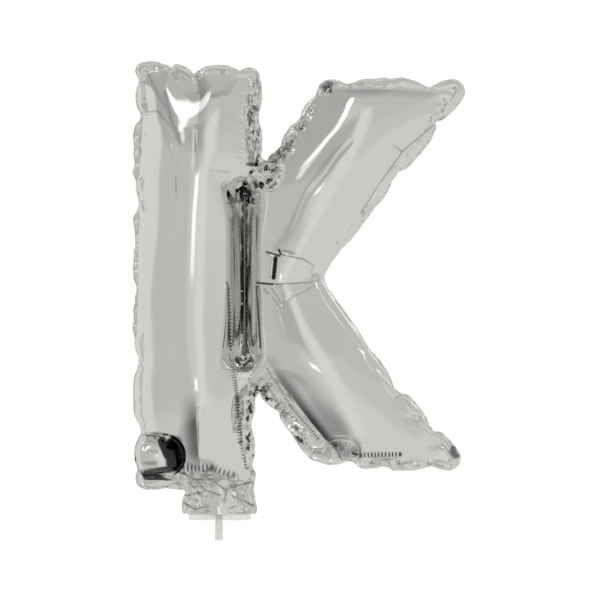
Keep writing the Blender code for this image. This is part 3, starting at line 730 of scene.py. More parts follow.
# One even colour, with no pattern of its own
def plainMaterial(name, colour, roughness, alpha=1.0):
    made = bpy.data.materials.new(name)
    made.use_nodes = True
    shader = made.node_tree.nodes["Principled BSDF"]
    shader.inputs["Base Color"].default_value = (*colour, 1)
    shader.inputs["Roughness"].default_value = roughness
    shader.inputs["Alpha"].default_value = alpha
    return made


clearFilm = plainMaterial("clearFilm", (0.97, 0.97, 0.95), 0.10, 0.18)
strawPlastic = plainMaterial("strawPlastic", (0.97, 0.97, 0.95), 0.3, 0.30)
paleFloor = plainMaterial("paleFloor", (0.86, 0.86, 0.86), 0.8)


# Relief of the film: puckers, lobes, creases, ticks and crumpled places

seamFade = 0.003    # relief grows from the weld to its full height over this distance
lobes = {"height": 0.0022, "roundness": 0.75, "bow": 0.30, "reach": 0.26, "least": 0.0045, "most": 0.0072,
         "valley": 0.0003, "valleyWidth": 0.0015, "fullSpan": 0.03, "shortShare": 0.4, "wideLoss": 0.8}
puckerShape = {"steady": 0.75, "full": 0.55, "seam": 0.0015, "stretch": 2.4, "level": 0.6, "lowest": 1.2,
               "strength": 1.6}
creaseShape = {"pointedness": 1.4, "fadeFrom": -0.001, "fadeTo": 0.006}
tickShape = {"level": 0.6, "spread": 2}
crumpleAndPaintedFacetCore, shadowCore = 0.55, 0.80    # share of a place's reach that has the full amount

# Gathered stretches of the weld, named by the place of their middle.
# Columns: x, z, half length, reach into the sheet, pitch along the weld, height
puckered = (
    (0.0310, 0.3000, 0.044, 0.0180, 0.0060, 0.00120),    # stem beside the upper notch
    (0.0560, 0.2960, 0.046, 0.0140, 0.0048, 0.00110),    # upper limb beside the notch
    (0.0830, 0.3340, 0.016, 0.0060, 0.0055, 0.00130),    # its top left corner
    (0.1300, 0.3340, 0.034, 0.0075, 0.0090, 0.00090),    # its top
    (0.1150, 0.2290, 0.026, 0.0080, 0.0065, 0.00090),    # its lower side by the crotch
    (0.0270, 0.0600, 0.042, 0.0130, 0.0045, 0.00110),    # stem beside the lower notch
    (0.0500, 0.0720, 0.042, 0.0120, 0.0045, 0.00120),    # lower limb beside the notch
    (0.1900, 0.0440, 0.014, 0.0080, 0.0050, 0.00130),    # lower limb's tip
    (0.1600, 0.0740, 0.020, 0.0060, 0.0070, 0.00070),    # its upper side
    (0.1350, 0.0358, 0.055, 0.0070, 0.0100, 0.00070),    # its bottom
    (-0.0420, 0.0190, 0.020, 0.0060, 0.0080, 0.00080),   # stem's foot
    (-0.0246, 0.0120, 0.020, 0.0240, 0.0090, 0.00180),   # neck, left
    (0.0254, 0.0120, 0.020, 0.0240, 0.0090, 0.00180),    # neck, right
)

# Places where the film is crumpled all over, with facets and painted dark reflection on some of them.
# Columns: x, z, reach in x, reach in z, amount
crumpleAndPaintedFacetPlaces = np.array((
    (0.0300, 0.3050, 0.0100, 0.0500, 0.8),    # stem beside the upper notch
    (0.0370, 0.2620, 0.0170, 0.0170, 0.9),    # upper limb's root
    (0.0510, 0.2830, 0.0110, 0.0110, 0.7),    # its left side, low
    (0.0620, 0.3020, 0.0090, 0.0110, 0.6),    # higher up
    (0.0800, 0.3290, 0.0110, 0.0090, 0.8),    # its top left corner
    (0.1120, 0.3340, 0.0220, 0.0050, 0.5),    # its top
    (0.1160, 0.2290, 0.0080, 0.0120, 0.4),    # its lower side
    (0.0200, 0.2520, 0.0080, 0.0080, 0.9),    # upper end of the line weld
    (0.0200, 0.1170, 0.0090, 0.0080, 1.0),    # lower end of the line weld
    (0.0270, 0.0640, 0.0080, 0.0460, 0.9),    # stem beside the lower notch
    (0.0340, 0.0930, 0.0110, 0.0110, 0.9),    # lower limb's root
    (0.0480, 0.0760, 0.0100, 0.0130, 0.8),    # its left side, high
    (0.0610, 0.0580, 0.0100, 0.0130, 0.8),    # lower down
    (0.1900, 0.0430, 0.0080, 0.0100, 0.9),    # its tip
    (0.1500, 0.0380, 0.0200, 0.0030, 0.5),    # its bottom
    (-0.0080, 0.0300, 0.0280, 0.0060, 0.5),   # foot of the stem over the neck
    (0.0004, 0.0130, 0.0300, 0.0170, 0.17),   # neck
))

# Spots on the front where film lies against film and little light comes out. Columns as above
shadowPlaces = np.array((
    (0.0211, 0.2480, 0.0055, 0.0060, 0.75),     # line weld's upper end
    (0.1845, 0.0480, 0.0055, 0.0065, 0.75),     # lower limb's tip
    (0.0826, 0.3320, 0.0070, 0.0040, 0.65),     # upper limb's top left corner
    (0.0720, 0.3240, 0.0030, 0.0030, 0.70),     # beside it
    (0.0300, 0.3138, 0.0040, 0.0025, 0.80),     # stem beside the upper notch
    (0.0261, 0.2695, 0.0048, 0.0018, 0.85),     # lower down
    (-0.0130, 0.0215, 0.0110, 0.0040, 0.25),    # neck
    (0.0120, 0.0190, 0.0080, 0.0035, 0.30),
))

# Folds pressed into the film of the front. Each has its width, its depth and the places (x, z) that it runs
# through; a negative depth is a ridge.
creases = (
    # bridge between the limbs
    (0.0010, 0.00050, ((0.0304, 0.1989), (0.0382, 0.2020), (0.0476, 0.2028), (0.0554, 0.2005),
                       (0.0663, 0.1966), (0.0749, 0.1911))),
    (0.0010, 0.00050, ((0.0304, 0.1786), (0.0398, 0.1786), (0.0429, 0.1771), (0.0554, 0.1782),
                       (0.0679, 0.1797), (0.0749, 0.1786))),
    (0.0012, 0.00130, ((0.0448, 0.1973), (0.0430, 0.1825))),
    (0.0024, -0.00060, ((0.0408, 0.1973), (0.0390, 0.1825))),
    (0.0012, 0.00100, ((0.0376, 0.2024), (0.0468, 0.1989))),
    (0.0012, 0.00080, ((0.0320, 0.1790), (0.0429, 0.1776))),
    (0.0011, 0.00050, ((0.0320, 0.1755), (0.0398, 0.1716), (0.0460, 0.1622), (0.0507, 0.1591))),
    (0.0011, 0.00050, ((0.0398, 0.1770), (0.0445, 0.1700), (0.0500, 0.1600))),
    (0.0011, 0.00045, ((0.0507, 0.1638), (0.0601, 0.1693), (0.0741, 0.1747))),
    (0.0016, -0.00045, ((0.0725, 0.1911), (0.0725, 0.1794))),
    # walls of the line weld
    (0.0011, -0.00050, ((0.0262, 0.1340), (0.0258, 0.1800), (0.0262, 0.2330))),
    (0.0011, 0.00060, ((0.0286, 0.1320), (0.0280, 0.1800), (0.0290, 0.2330))),
    (0.0014, 0.00070, ((0.0304, 0.1771), (0.0315, 0.1400), (0.0330, 0.1180))),
    (0.0011, -0.00050, ((0.0162, 0.1340), (0.0164, 0.1800), (0.0162, 0.2330))),
    (0.0011, 0.00060, ((0.0134, 0.1320), (0.0138, 0.1800), (0.0134, 0.2330))),
    (0.0012, 0.00060, ((0.0096, 0.1250), (0.0092, 0.1600), (0.0090, 0.1760))),
    # upper limb
    (0.0011, 0.00060, ((0.0484, 0.2050), (0.0600, 0.2220), (0.0660, 0.2400), (0.0733, 0.2512),
                       (0.0842, 0.2629), (0.0913, 0.2746), (0.1037, 0.2878))),
    (0.0014, 0.00060, ((0.1340, 0.2850), (0.1390, 0.2830), (0.1435, 0.2805))),
    # lower limb
    (0.0040, 0.00160, ((0.0400, 0.1080), (0.0530, 0.0900), (0.0680, 0.0700), (0.0800, 0.0560))),
    (0.0014, 0.00060, ((0.1370, 0.0890), (0.1440, 0.0935))),
    # stem's top
    (0.0014, 0.00130, ((-0.0180, 0.3440), (-0.0170, 0.3340), (-0.0164, 0.3260))),
    (0.0016, 0.00060, ((-0.0421, 0.3081), (-0.0343, 0.2870), (-0.0296, 0.2640))),
    (0.0014, 0.00050, ((-0.0164, 0.3000), (-0.0168, 0.2820), (-0.0170, 0.2620))),
    # stem's foot
    (0.0018, 0.00100, ((-0.0343, 0.0260), (-0.0330, 0.0340), (-0.0300, 0.0400))),
    (0.0045, -0.00130, ((-0.0135, 0.0860), (-0.0138, 0.0600), (-0.0150, 0.0390))),
)

# Rows of small ticks where the front's film is gathered along a line.
# Each has pitch, half length of a tick, depth and the places (x, z) that the row runs through
tickRows = (
    (0.0028, 0.0040, 0.00080, ((0.1090, 0.0457), (0.1400, 0.0462))),
    (0.0036, 0.0050, 0.00110, ((-0.0310, 0.0372), (-0.0150, 0.0375), (0.0040, 0.0310), (0.0180, 0.0268))),
    (0.0031, 0.0024, 0.00060, ((0.0123, 0.1720), (0.0128, 0.1400), (0.0140, 0.1220))),
    (0.0031, 0.0022, 0.00055, ((0.0320, 0.1700), (0.0330, 0.1300))),
    (0.0038, 0.0030, 0.00080, ((0.0190, 0.3280), (0.0185, 0.2900), (0.0170, 0.2600))),
    (0.0036, 0.0028, 0.00080, ((0.0330, 0.2480), (0.0470, 0.2620), (0.0600, 0.2850), (0.0760, 0.3130))),
    (0.0038, 0.0028, 0.00080, ((0.0370, 0.2620), (0.0500, 0.2830), (0.0640, 0.3060), (0.0740, 0.3210))),
    (0.0034, 0.0028, 0.00070, ((0.0380, 0.0960), (0.0530, 0.0780), (0.0700, 0.0560))),
)


# Square of the distance to the nearest of the points scattered one to each unit cell.
def cellNoise(u, v, seed):
    rng = np.random.default_rng(seed)
    size = 64
    offsets = rng.random((size, size, 2))
    cellU, cellV = np.floor(u).astype(int), np.floor(v).astype(int)
    nearest = np.full(len(u), 9.0)
    for i in (-1, 0, 1):
        for j in (-1, 0, 1):
            spot = offsets[(cellU + i) % size, (cellV + j) % size]
            away = (cellU + i + spot[:, 0] - u) ** 2 + (cellV + j + spot[:, 1] - v) ** 2
            nearest = np.minimum(nearest, away)
    return nearest


# Even noise along one coordinate, from -1 to 1, smooth between whole numbers.
def lineNoise(u, seed):
    values = np.random.default_rng(seed).uniform(-1, 1, 512)
    cell = np.floor(u).astype(int)
    t = u - cell
    t = t * t * (3 - 2 * t)
    return values[cell % 512] * (1 - t) + values[(cell + 1) % 512] * t


# A change along s by an amount, over a run of about so many metres.
def wander(s, amount, run, seed):
    return amount * lineNoise(s / run, seed)


# Folds with straight sides and sharp ridges, from -1 to 1, one to each unit of u.
def zigzag(u):
    return 2 * np.abs(2 * (u % 1) - 1) - 1


# 0 up to low, 1 from high on, a smooth cubic between.
def easing(x, low, high):
    t = np.clip((x - low) / (high - low), 0, 1)
    return t * t * (3 - 2 * t)


# An open line with its corners cut three times, which makes it a smooth curve.
def roundedPath(places, cuts=3):
    path = np.array(places, float)
    for _ in range(cuts if len(path) > 2 else 0):
        near, far = path[:-1] * 0.75 + path[1:] * 0.25, path[:-1] * 0.25 + path[1:] * 0.75
        between = np.stack([near, far], axis=1).reshape(-1, 2)
        path = np.concatenate([path[:1], between[1:-1], path[-1:]])
    return path


# Distance across an open path, running length along it, and the path's whole length.
def besidePath(points, path):
    along = path[1:] - path[:-1]
    length = np.linalg.norm(along, axis=1)
    start = np.concatenate([[0], np.cumsum(length)])
    part = points[:, None] - path[None, :-1]
    share = np.clip((part * along).sum(2) / length ** 2, 0, 1)
    away = np.linalg.norm(part - share[..., None] * along, axis=2)
    k = away.argmin(1)
    row = np.arange(len(points))
    return away[row, k], start[k] + share[row, k] * length[k], start[-1]


# For a path through some places: which points lie near it, their distance across and running length, and
# the path's whole length.
def nearPath(places, through, margin):
    path = roundedPath(through)
    near = (places > path.min(0) - margin).all(1) & (places < path.max(0) + margin).all(1)
    return near, *besidePath(places[near], path)


# Running length along the seam of the place on it that is nearest to each point.
def seamOf(places):
    return nearestOn(places, seamPlan)[1]


# Height of the gathered stretches: film puffed between valleys that run into the sheet.
def puckers(away, station):
    height, length = np.zeros(len(away)), seamLengths[-1]
    for number, (x, z, half, reach, pitch, high) in enumerate(puckered):
        middle = seamOf(np.array([[x, z]]))[0]
        off = np.abs((station - middle + length / 2) % length - length / 2)
        window = 1 - easing(off, half * puckerShape["steady"], half)
        across = easing(away, 0, puckerShape["seam"]) * (1 - easing(away, reach * puckerShape["full"], reach))
        here = (window * across) > 0
        cells = cellNoise(station[here] / pitch, away[here] / (pitch * puckerShape["stretch"]), 11 + number)
        puffed = puckerShape["level"] - np.minimum(cells, puckerShape["lowest"])
        height[here] += high * (window * across)[here] * puffed * puckerShape["strength"]
    return height


# Height of the lobes. Between two gathers the film is a pillow beside the weld. It ends in a valley that
# bows from one gather to the other, and across it rises and falls as a power of a parabola.
def lobeRelief(places, away, station):
    stops = np.sort(seamOf(gathers[:, :2]))
    stops = np.concatenate([stops[-1:] - seamLengths[-1], stops, stops[:1] + seamLengths[-1]])
    k = np.clip(np.searchsorted(stops, station) - 1, 0, len(stops) - 2)
    span = stops[k + 1] - stops[k]
    t = np.clip((station - stops[k]) / span, 0, 1)
    bow = (4 * t * (1 - t)) ** lobes["bow"]
    reach = np.clip(span * lobes["reach"], lobes["least"], lobes["most"]) * bow
    across = np.clip(away / np.maximum(reach, 0.0005), 0, 1)
    pillow = lobes["height"] * (4 * across * (1 - across)) ** lobes["roundness"]
    valley = lobes["valley"] * np.exp(-((away - reach) / lobes["valleyWidth"]) ** 2)
    full = np.clip(span / lobes["fullSpan"], lobes["shortShare"], 1)
    height = (pillow * full - valley * easing(away, 0, seamFade)) * bow
    return height * (1 - lobes["wideLoss"] * wideShare(places))


# Sum of all folds: each is a narrow, pointed bell across its path, fading at both ends.
def creaseRelief(places):
    height = np.zeros(len(places))
    for width, depth, through in creases:
        near, away, station, length = nearPath(places, through, 4 * width)
        ends = easing(np.minimum(station, length - station), creaseShape["fadeFrom"],
                      min(creaseShape["fadeTo"], length / 3))
        height[near] -= depth * ends * np.exp(-(away / width) ** creaseShape["pointedness"])
    return height


# Rows of short ticks: a valley at each pitch along the path, a round hill between two.
def tickRelief(places):
    height = np.zeros(len(places))
    for pitch, half, depth, through in tickRows:
        near, away, station, length = nearPath(places, through, half)
        ends = easing(np.minimum(station, length - station), 0, pitch)
        wave = np.abs(np.sin(np.pi * station / pitch))
        bell = np.exp(-(away / half) ** 2 * tickShape["spread"])
        height[near] += depth * (wave - tickShape["level"]) * ends * bell
    return height


# The share that a table of round places gives to each point: full up to the core, 0 at the rim.
def shareOf(places, spots, core):
    off = np.linalg.norm((places[:, None] - spots[None, :, :2]) / spots[None, :, 2:4], axis=2)
    return (spots[:, 4] * (1 - easing(off, core, 1))).max(1)


# The envelope

envelope = {"wall": 0.00030, "rimWall": 0.3, "seat": 0.00035, "smoothRounds": 150, "smoothFrom": 0.006,
            "smoothFull": 0.022, "fullness": 0.95, "strokeHalf": 0.043, "roundness": 0.72, "formed": 0.93,
            "solverRounds": 400, "leastWeight": 0.02, "splitOver": 0.00052}
trench = {"reach": 0.0130, "least": 0.02, "straightness": 0.30}
neck = {"flatTo": 0.0255, "fullFrom": 0.0760, "flatness": 0.10, "middle": 0.0004, "half": 0.0250,
        "fade": 0.0080, "foilArch": 0.0046, "archHalf": 0.0085, "archTop": 0.022,
        "folds": 0.0017, "foldsTo": 0.0260, "foldsFade": 0.008, "foldsLevel": 0.6, "foldsSeam": 0.004}
# Ridges of the neck across and along it. Columns: spacing, sway, spacing of the sway
neckRidges = ((0.0085, 1.3, 0.0110), (0.0060, 1.1, 0.0120))
strawArch = {"squareness": 2.5, "fade": 0.02}

# Round bulbs where folds cross the letter.
# Columns: x, z, half width, half height, depth, and the share of the body's depth that is left under it
bulbs = (
    (-0.0500, 0.0455, 0.0245, 0.0172, 0.0300, 0.60),    # stem's foot, left
    (-0.0510, 0.0226, 0.0230, 0.0100, 0.0170, 0.50),    # under it
    (0.0959, 0.0476, 0.0140, 0.0125, 0.0190, 0.55),     # lower limb's bottom left
    (0.0796, 0.0413, 0.0080, 0.0090, 0.0120, 0.60),     # beside it
)
bulbShape = {"squareness": 2.6, "moatFrom": 0.85, "moatTo": 1.10, "seam": 0.005, "smoothness": 0.9}


# Values at the mesh's points whose weighted differences along the edges sum up to the load, with the
# first points held at their start. Solved by conjugate gradients.
def relaxed(edges, weight, load, held, start):
    a, b = edges.T
    count = len(start)
    free = np.arange(count) >= held

    def spread(u):
        difference = weight * (u[a] - u[b])
        return (np.bincount(a, difference, count) - np.bincount(b, difference, count)) * free

    u = np.where(free, 0, start)
    left = load * free - spread(u)
    way = left.copy()
    size = left @ left
    for _ in range(envelope["solverRounds"]):
        pushed = spread(way)
        share = size / max(way @ pushed, 1e-30)
        u = u + share * way
        left = left - share * pushed
        before, size = size, left @ left
        way = left + size / max(before, 1e-30) * way
    return u


# Depth of the filled sheet. The filled outline's inside is given even coordinates, and over it a membrane
# with an even load and its edge at 0 is solved; a power of its height makes a long stroke round.
def filledDepth(goal, faces, held):
    edges, number, _ = edgesOf(faces)
    even = np.ones(len(edges))
    plan = np.stack([relaxed(edges, even, 0 * goal[:, k], held, goal[:, k]) for k in (0, 1)], axis=1)
    corner = plan[faces]
    before, after = corner[:, [1, 2, 0]] - corner[:, [2, 0, 1]], corner[:, [0, 1, 2]] - corner[:, [2, 0, 1]]
    area2 = np.abs(before[..., 0] * after[..., 1] - before[..., 1] * after[..., 0])
    share = (before * after).sum(2) / np.maximum(area2, 1e-9) / 2
    weight = np.maximum(np.bincount(number.ravel(), share.ravel(), len(edges)), envelope["leastWeight"])
    load = np.bincount(faces.ravel(), np.repeat(area2[:, 0] / 6, 3), len(goal))
    height = relaxed(edges, weight, load, held, np.zeros(len(goal)))
    part = 2 * np.maximum(height, 0) / envelope["strokeHalf"] ** 2
    return envelope["fullness"] * envelope["strokeHalf"] * part ** envelope["roundness"]


# The share of its depth that the sheet keeps beside the line weld, where its walls are straight.
def trenchShare(places):
    ends = np.array([(lineWeld["x"], lineWeld[end]) for end in ("low", "high")])
    away = besidePath(places, ends)[0]
    return np.clip(away / trench["reach"], trench["least"], 1) ** trench["straightness"]


# Depth with the bulbs, and the share of the relief that stays. The body is drawn back under each bulb, and
# the deeper of body and bulb shows; a bulb is smooth.
def withBulbs(depth, places, away):
    plain = np.ones(len(depth))
    for x, z, halfX, halfZ, high, left in bulbs:
        off = (np.abs((places - (x, z)) / (halfX, halfZ)) ** bulbShape["squareness"]).sum(1)
        clear = 1 - easing(off, bulbShape["moatFrom"], bulbShape["moatTo"])
        bulb = high * np.sqrt(np.clip(1 - off, 0, 1)) * np.sqrt(np.clip(away / bulbShape["seam"], 0, 1))
        depth = np.maximum(depth * (1 - (1 - left) * clear), bulb)
        plain = np.minimum(plain, 1 - bulbShape["smoothness"] * clear)
    return depth, plain


# The share of its depth that the sheet keeps: little in the flat neck, all of it above a round shoulder.
def neckShare(x, z):
    rise = np.clip((z - neck["flatTo"]) / (neck["fullFrom"] - neck["flatTo"]), 0, 1)
    share = neck["flatness"] + (1 - neck["flatness"]) * np.sqrt(rise * (2 - rise))
    beside = easing(np.abs(x - neck["middle"]), neck["half"], neck["half"] + neck["fade"])
    return share + (1 - share) * beside


# Folds of the flat neck: the film's height where two sets of wandering ridges meet.
def neckFolds(x, z):
    (pitchX, swayX, runX), (pitchZ, swayZ, runZ) = neckRidges
    high = neck["folds"] * (1 - easing(z, neck["foldsTo"], neck["foldsTo"] + neck["foldsFade"]))
    across = np.abs(lineNoise(x / pitchX + wander(z, swayX, runX, 31), 30))
    along = np.abs(lineNoise(z / pitchZ + wander(x, swayZ, runZ, 33), 32))
    return high * (across + along - neck["foldsLevel"])


# Least distance from the middle plane of a film that passes over the straw: a bell of a given half width.
def overStraw(x, z, height, half, top):
    bell = np.exp(-(np.abs(x) / half) ** strawArch["squareness"])
    return height * bell * (1 - easing(z, top, top + strawArch["fade"]))


# Height of the relief at each place, and the distance from the weld round the edge.
def relief(places, side):
    away, station = nearestOn(places, seamPlan)
    height = puckers(away, station) + lobeRelief(places, away, station)
    if side < 0:
        height += (creaseRelief(places) + tickRelief(places)) * easing(away, 0, seamFade)
    return height, away


# Gives a refined sheet its folds. The depth is set first, then the relief goes on along the normals, and
# last the film is held off the middle plane and the straw.
def shape(values, wound, side):
    places = values[:, [0, 2]]
    height, away = relief(places, side)
    depth, plain = withBulbs(side * values[:, 1] * trenchShare(places), places, away)
    values[:, 1] = side * depth * neckShare(*places.T)
    values[:, :3] += vertexNormals(values[:, :3], wound) * (height * plain)[:, None]
    x, z = values[:, 0], values[:, 2]
    values[:, 1] += side * neckFolds(x, z) * easing(away, 0, neck["foldsSeam"])
    least = envelope["seat"] + overStraw(x, z, neck["foilArch"], neck["archHalf"], neck["archTop"])
    values[:, 1] = side * np.maximum(side * values[:, 1], least)


# One foil sheet as a closed thin shell: a fine outer skin, a coarse inner skin and the wall between
# them along the rim, where every second fine rim point is a coarse one. Rows of both hold x, y, z, u, v.
def addSheet(name, side, fine, fineFaces, coarse, coarseFaces, cadNode):
    points = fine[:, :3]
    inner = coarse[:, :3] - vertexNormals(coarse[:, :3], coarseFaces) * envelope["wall"]
    _, number, uses = edgesOf(coarseFaces)
    openFace, openSide = np.nonzero(uses[number] == 1)
    a, b = coarseFaces[openFace, openSide], coarseFaces[openFace, (openSide + 1) % 3]
    middle = number[openFace, openSide] + len(coarse)
    onRim = np.unique(a)
    inner[onRim, 1] = points[onRim, 1] - side * envelope["wall"] * envelope["rimWall"]
    count = len(fine)
    wall = np.concatenate([np.stack(f, axis=1) for f in (
        (middle, a, a + count), (middle, a + count, b + count), (b, middle, b + count))])
    closed = np.concatenate([fineFaces, coarseFaces[:, ::-1] + count, wall])
    uv = np.concatenate([fine[:, 3:], fine[:len(inner), 3:]])
    places, bare = points[:, [0, 2]], np.zeros(len(inner))
    # Crumple gives facets with painted dark reflection on a random share; shadow is painted shadow, on the
    # front only
    crumple = np.concatenate([shareOf(places, crumpleAndPaintedFacetPlaces, crumpleAndPaintedFacetCore), bare])
    shadow = np.concatenate([shareOf(places, shadowPlaces, shadowCore) * (side < 0), bare])
    piece = addPiece(name, np.concatenate([points, inner]), closed, foilWithPaintedFolds if side < 0 else silverFoil,
                     "envelope", "silver_foil", uv, crumple=crumple, shadow=shadow)
    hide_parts(cadNode)


flat, faces, rimCount, slitCount = cutSheet()
welds = slice(rimCount, rimCount + slitCount)
sheets = fillBySimulation(flat, faces, rimCount, slitCount)
print("filled")

# The simulation's wrinkles stay beside the welds, within the calm share's start, and are smoothed away
# farther in. Beside the line weld only its ends count.
slitEnds = np.array([(lineWeld["flatX"], lineWeld[end]) for end in ("flatLow", "flatHigh")])
flatAway = np.minimum(nearestOn(flat, flat[:rimCount])[0],
                      np.linalg.norm(flat[:, None] - slitEnds[None], axis=2).min(1))
calm = easing(flatAway, envelope["smoothFrom"], envelope["smoothFull"])
goal = filledGoal(flat, rimCount, slitCount)
depth = filledDepth(goal, faces, rimCount + slitCount)
print("depth", round(depth.max(), 4))
seamLine = curveRefined(curveRefined(sheets[0][:rimCount]))
seamPlan = seamLine[:, [0, 2]]
seamLengths = lengthsAlong(seamPlan)

# The depth is mostly the membrane's, the plan is the simulation's
for side, sheet, title, cadNode in ((-1, sheets[0], "front_sheet", "front_foil"),
                                    (1, sheets[1], "back_sheet", "back_foil")):
    sheet[welds, [0, 2]] = goal[welds]
    sheet[welds, 1] = 0
    soft = smoothed(sheet, faces, envelope["smoothRounds"])
    crumple = (1 - calm) * (sheet - soft)[:, 1]
    sheet = sheet + calm[:, None] * (soft - sheet)
    sheet[:, 1] = envelope["formed"] * (side * depth + crumple) + (1 - envelope["formed"]) * sheet[:, 1]
    wound = faces if side < 0 else faces[:, ::-1]
    coarse, coarseFaces = refined(np.concatenate([sheet, flat], axis=1), wound)
    fine, fineFaces = refined(coarse, coarseFaces)
    if side < 0:
        rough = np.ptp(relief(fine[:, [0, 2]], side)[0][fineFaces], axis=1)
        fine, fineFaces = splitWhere(fine, fineFaces, rough > envelope["splitOver"])
        print("finer where the front is folded:", len(fineFaces), "triangles")
    shape(coarse, coarseFaces, side)
    shape(fine, fineFaces, side)
    addSheet(title, side, fine, fineFaces, coarse, coarseFaces, cadNode)


# The weld round the edge, one crinkled strip from one side of the mouth to the other

# Changes along the strip hold an amount, a run and a seed
edgeWeld = {"step": 0.0012, "width": 0.0014, "wide": 0.0040, "tuck": 0.0009, "half": 0.00022, "columns": 6,
            "ends": 0.001, "calmRounds": 24, "pitch": 0.0085, "finePitch": 0.0031, "wobble": 0.0008,
            "fineWobble": 0.00030, "lean": 0.25, "fineLean": -0.4, "flare": 0.8, "liveliness": 0.55,
            "crumple": 0.15, "broadChange": (0.30, 0.021, 5), "fineChange": (0.16, 0.0045, 6),
            "sway": (0.6, 0.009, 7), "fineSway": (0.5, 0.006, 8), "livelyChange": (0.45, 0.035, 9)}


# Width out from the seam and wobble to the front and back are noise along it; the wobble is two zigzags
# that grow from the seam to the strip's free edge.
def addEdgeWeld():
    mouth = nearestOn(letterCorners[[mouthLeft, mouthRight], 3:5], seamPlan)[1]
    start, end = mouth[0], mouth[1] + (seamLengths[-1] if mouth[1] < mouth[0] else 0)
    s = np.linspace(start + edgeWeld["ends"], end - edgeWeld["ends"], round((end - start) / edgeWeld["step"]))
    line = pointAt(seamLine, seamLengths, s)
    slow = line[:, [0, 2]].copy()
    for _ in range(edgeWeld["calmRounds"]):
        slow[1:-1] = (slow[:-2] + 2 * slow[1:-1] + slow[2:]) / 4
    outward = -inwardNormals(slow)
    outward[[0, -1]] = outward[[1, -2]]
    width = edgeWeld["width"] + (edgeWeld["wide"] - edgeWeld["width"]) * wideShare(slow)
    width = width * (1 + wander(s, *edgeWeld["broadChange"]) + wander(s, *edgeWeld["fineChange"]))
    t = np.linspace(0, 1, edgeWeld["columns"] - 1)
    reach = np.concatenate([np.full((len(s), 1), -edgeWeld["tuck"]), width[:, None] * t], axis=1)
    part = np.concatenate([[0], t]) ** edgeWeld["flare"]
    coarse, fine = (
        zigzag((s / edgeWeld[pitch] + wander(s, *edgeWeld[sway]))[:, None] + edgeWeld[lean] * part)
        for pitch, sway, lean in (("pitch", "sway", "lean"), ("finePitch", "fineSway", "fineLean")))
    lively = (edgeWeld["liveliness"] + wander(s, *edgeWeld["livelyChange"]))[:, None]
    depth = part * lively * (edgeWeld["wobble"] * coarse + edgeWeld["fineWobble"] * fine)
    middle = np.stack([line[:, :1] + outward[:, :1] * reach, line[:, 1:2] + depth,
                       line[:, 2:] + outward[:, 1:] * reach], axis=-1)
    half = np.array((0, edgeWeld["half"], 0))
    points, shell = gridShell(middle - half, middle + half)
    uv = np.concatenate([np.stack([s[:, None] + 0 * reach, reach], axis=-1).reshape(-1, 2)] * 2)
    # The crumple share gives the strip facets, with painted dark reflection on a random share of them
    piece = addPiece("edge_strip", points, shell, weldedFoil, "envelope", "welded_foil", uv,
                     crumple=np.full(len(points), edgeWeld["crumple"]))
    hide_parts("edge_weld")


# The straight weld between the stem and the limbs

stemWeld = {"rows": 130, "columns": 7, "tuck": 0.0004, "half": 0.00020, "rib": 0.00010, "ribPitch": 0.0016,
            "ribSway": (0.7, 0.004, 12), "past": 0.0010, "pastPower": 9, "shadow": 0.75}


# A strip between the slit's two edges, tucked under both and reaching a little past its ends. Ribs run
# across it, highest in its middle. Its shadow share, the same everywhere, is painted shade for the bottom of
# the line weld's trench.
def addStemWeld(front):
    side = slitCount // 2
    right, left = front[rimCount:rimCount + side], front[rimCount + side:rimCount + slitCount][::-1]
    t = np.linspace(0, side - 1, stemWeld["rows"])
    right, left = (np.stack([np.interp(t, np.arange(side), edge[:, k]) for k in range(3)], axis=1)
                   for edge in (right, left))
    share = np.linspace(-1, 1, stemWeld["columns"])[:, None]
    middle, across = (right + left)[:, None] / 2, (right - left)[:, None] / 2
    strip = middle + across * share * (1 + stemWeld["tuck"] / np.linalg.norm(across, axis=2, keepdims=True))
    rows = np.linspace(-1, 1, stemWeld["rows"])[:, None]
    strip[..., 2] += rows ** stemWeld["pastPower"] * stemWeld["past"]
    z = strip[..., 2]
    ribs = zigzag(z / stemWeld["ribPitch"] + wander(z, *stemWeld["ribSway"]))
    strip[..., 1] = stemWeld["rib"] * ribs * (1 - share[:, 0] ** 2)
    half = np.array((0, stemWeld["half"], 0))
    points, shell = gridShell(strip - half, strip + half)
    piece = addPiece("stem_strip", points, shell, weldedFoil, "envelope", "welded_foil", points[:, [0, 2]],
                     shadow=np.full(len(points), stemWeld["shadow"]))
    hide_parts("stem_weld")


# The two clear films of the filling valve, which lie in the mouth round the straw

# Waves are noise along x and z. Columns: share of the wave, run in x, run in z, seed
valve = {"left": -0.0236, "right": 0.0246, "low": -0.0062, "high": 0.0208, "rows": 50, "columns": 120,
         "inside": 0.00010, "wall": 0.00012, "arch": 0.00370, "archHalf": 0.0065, "wave": 0.00060,
         "waves": ((1.0, 0.0052, 0.004, 17), (0.6, 0.0023, -0.003, 18)), "freeUnder": 0.004, "held": 0.006,
         "edgeWave": 0.00045, "edgeRun": 0.007}


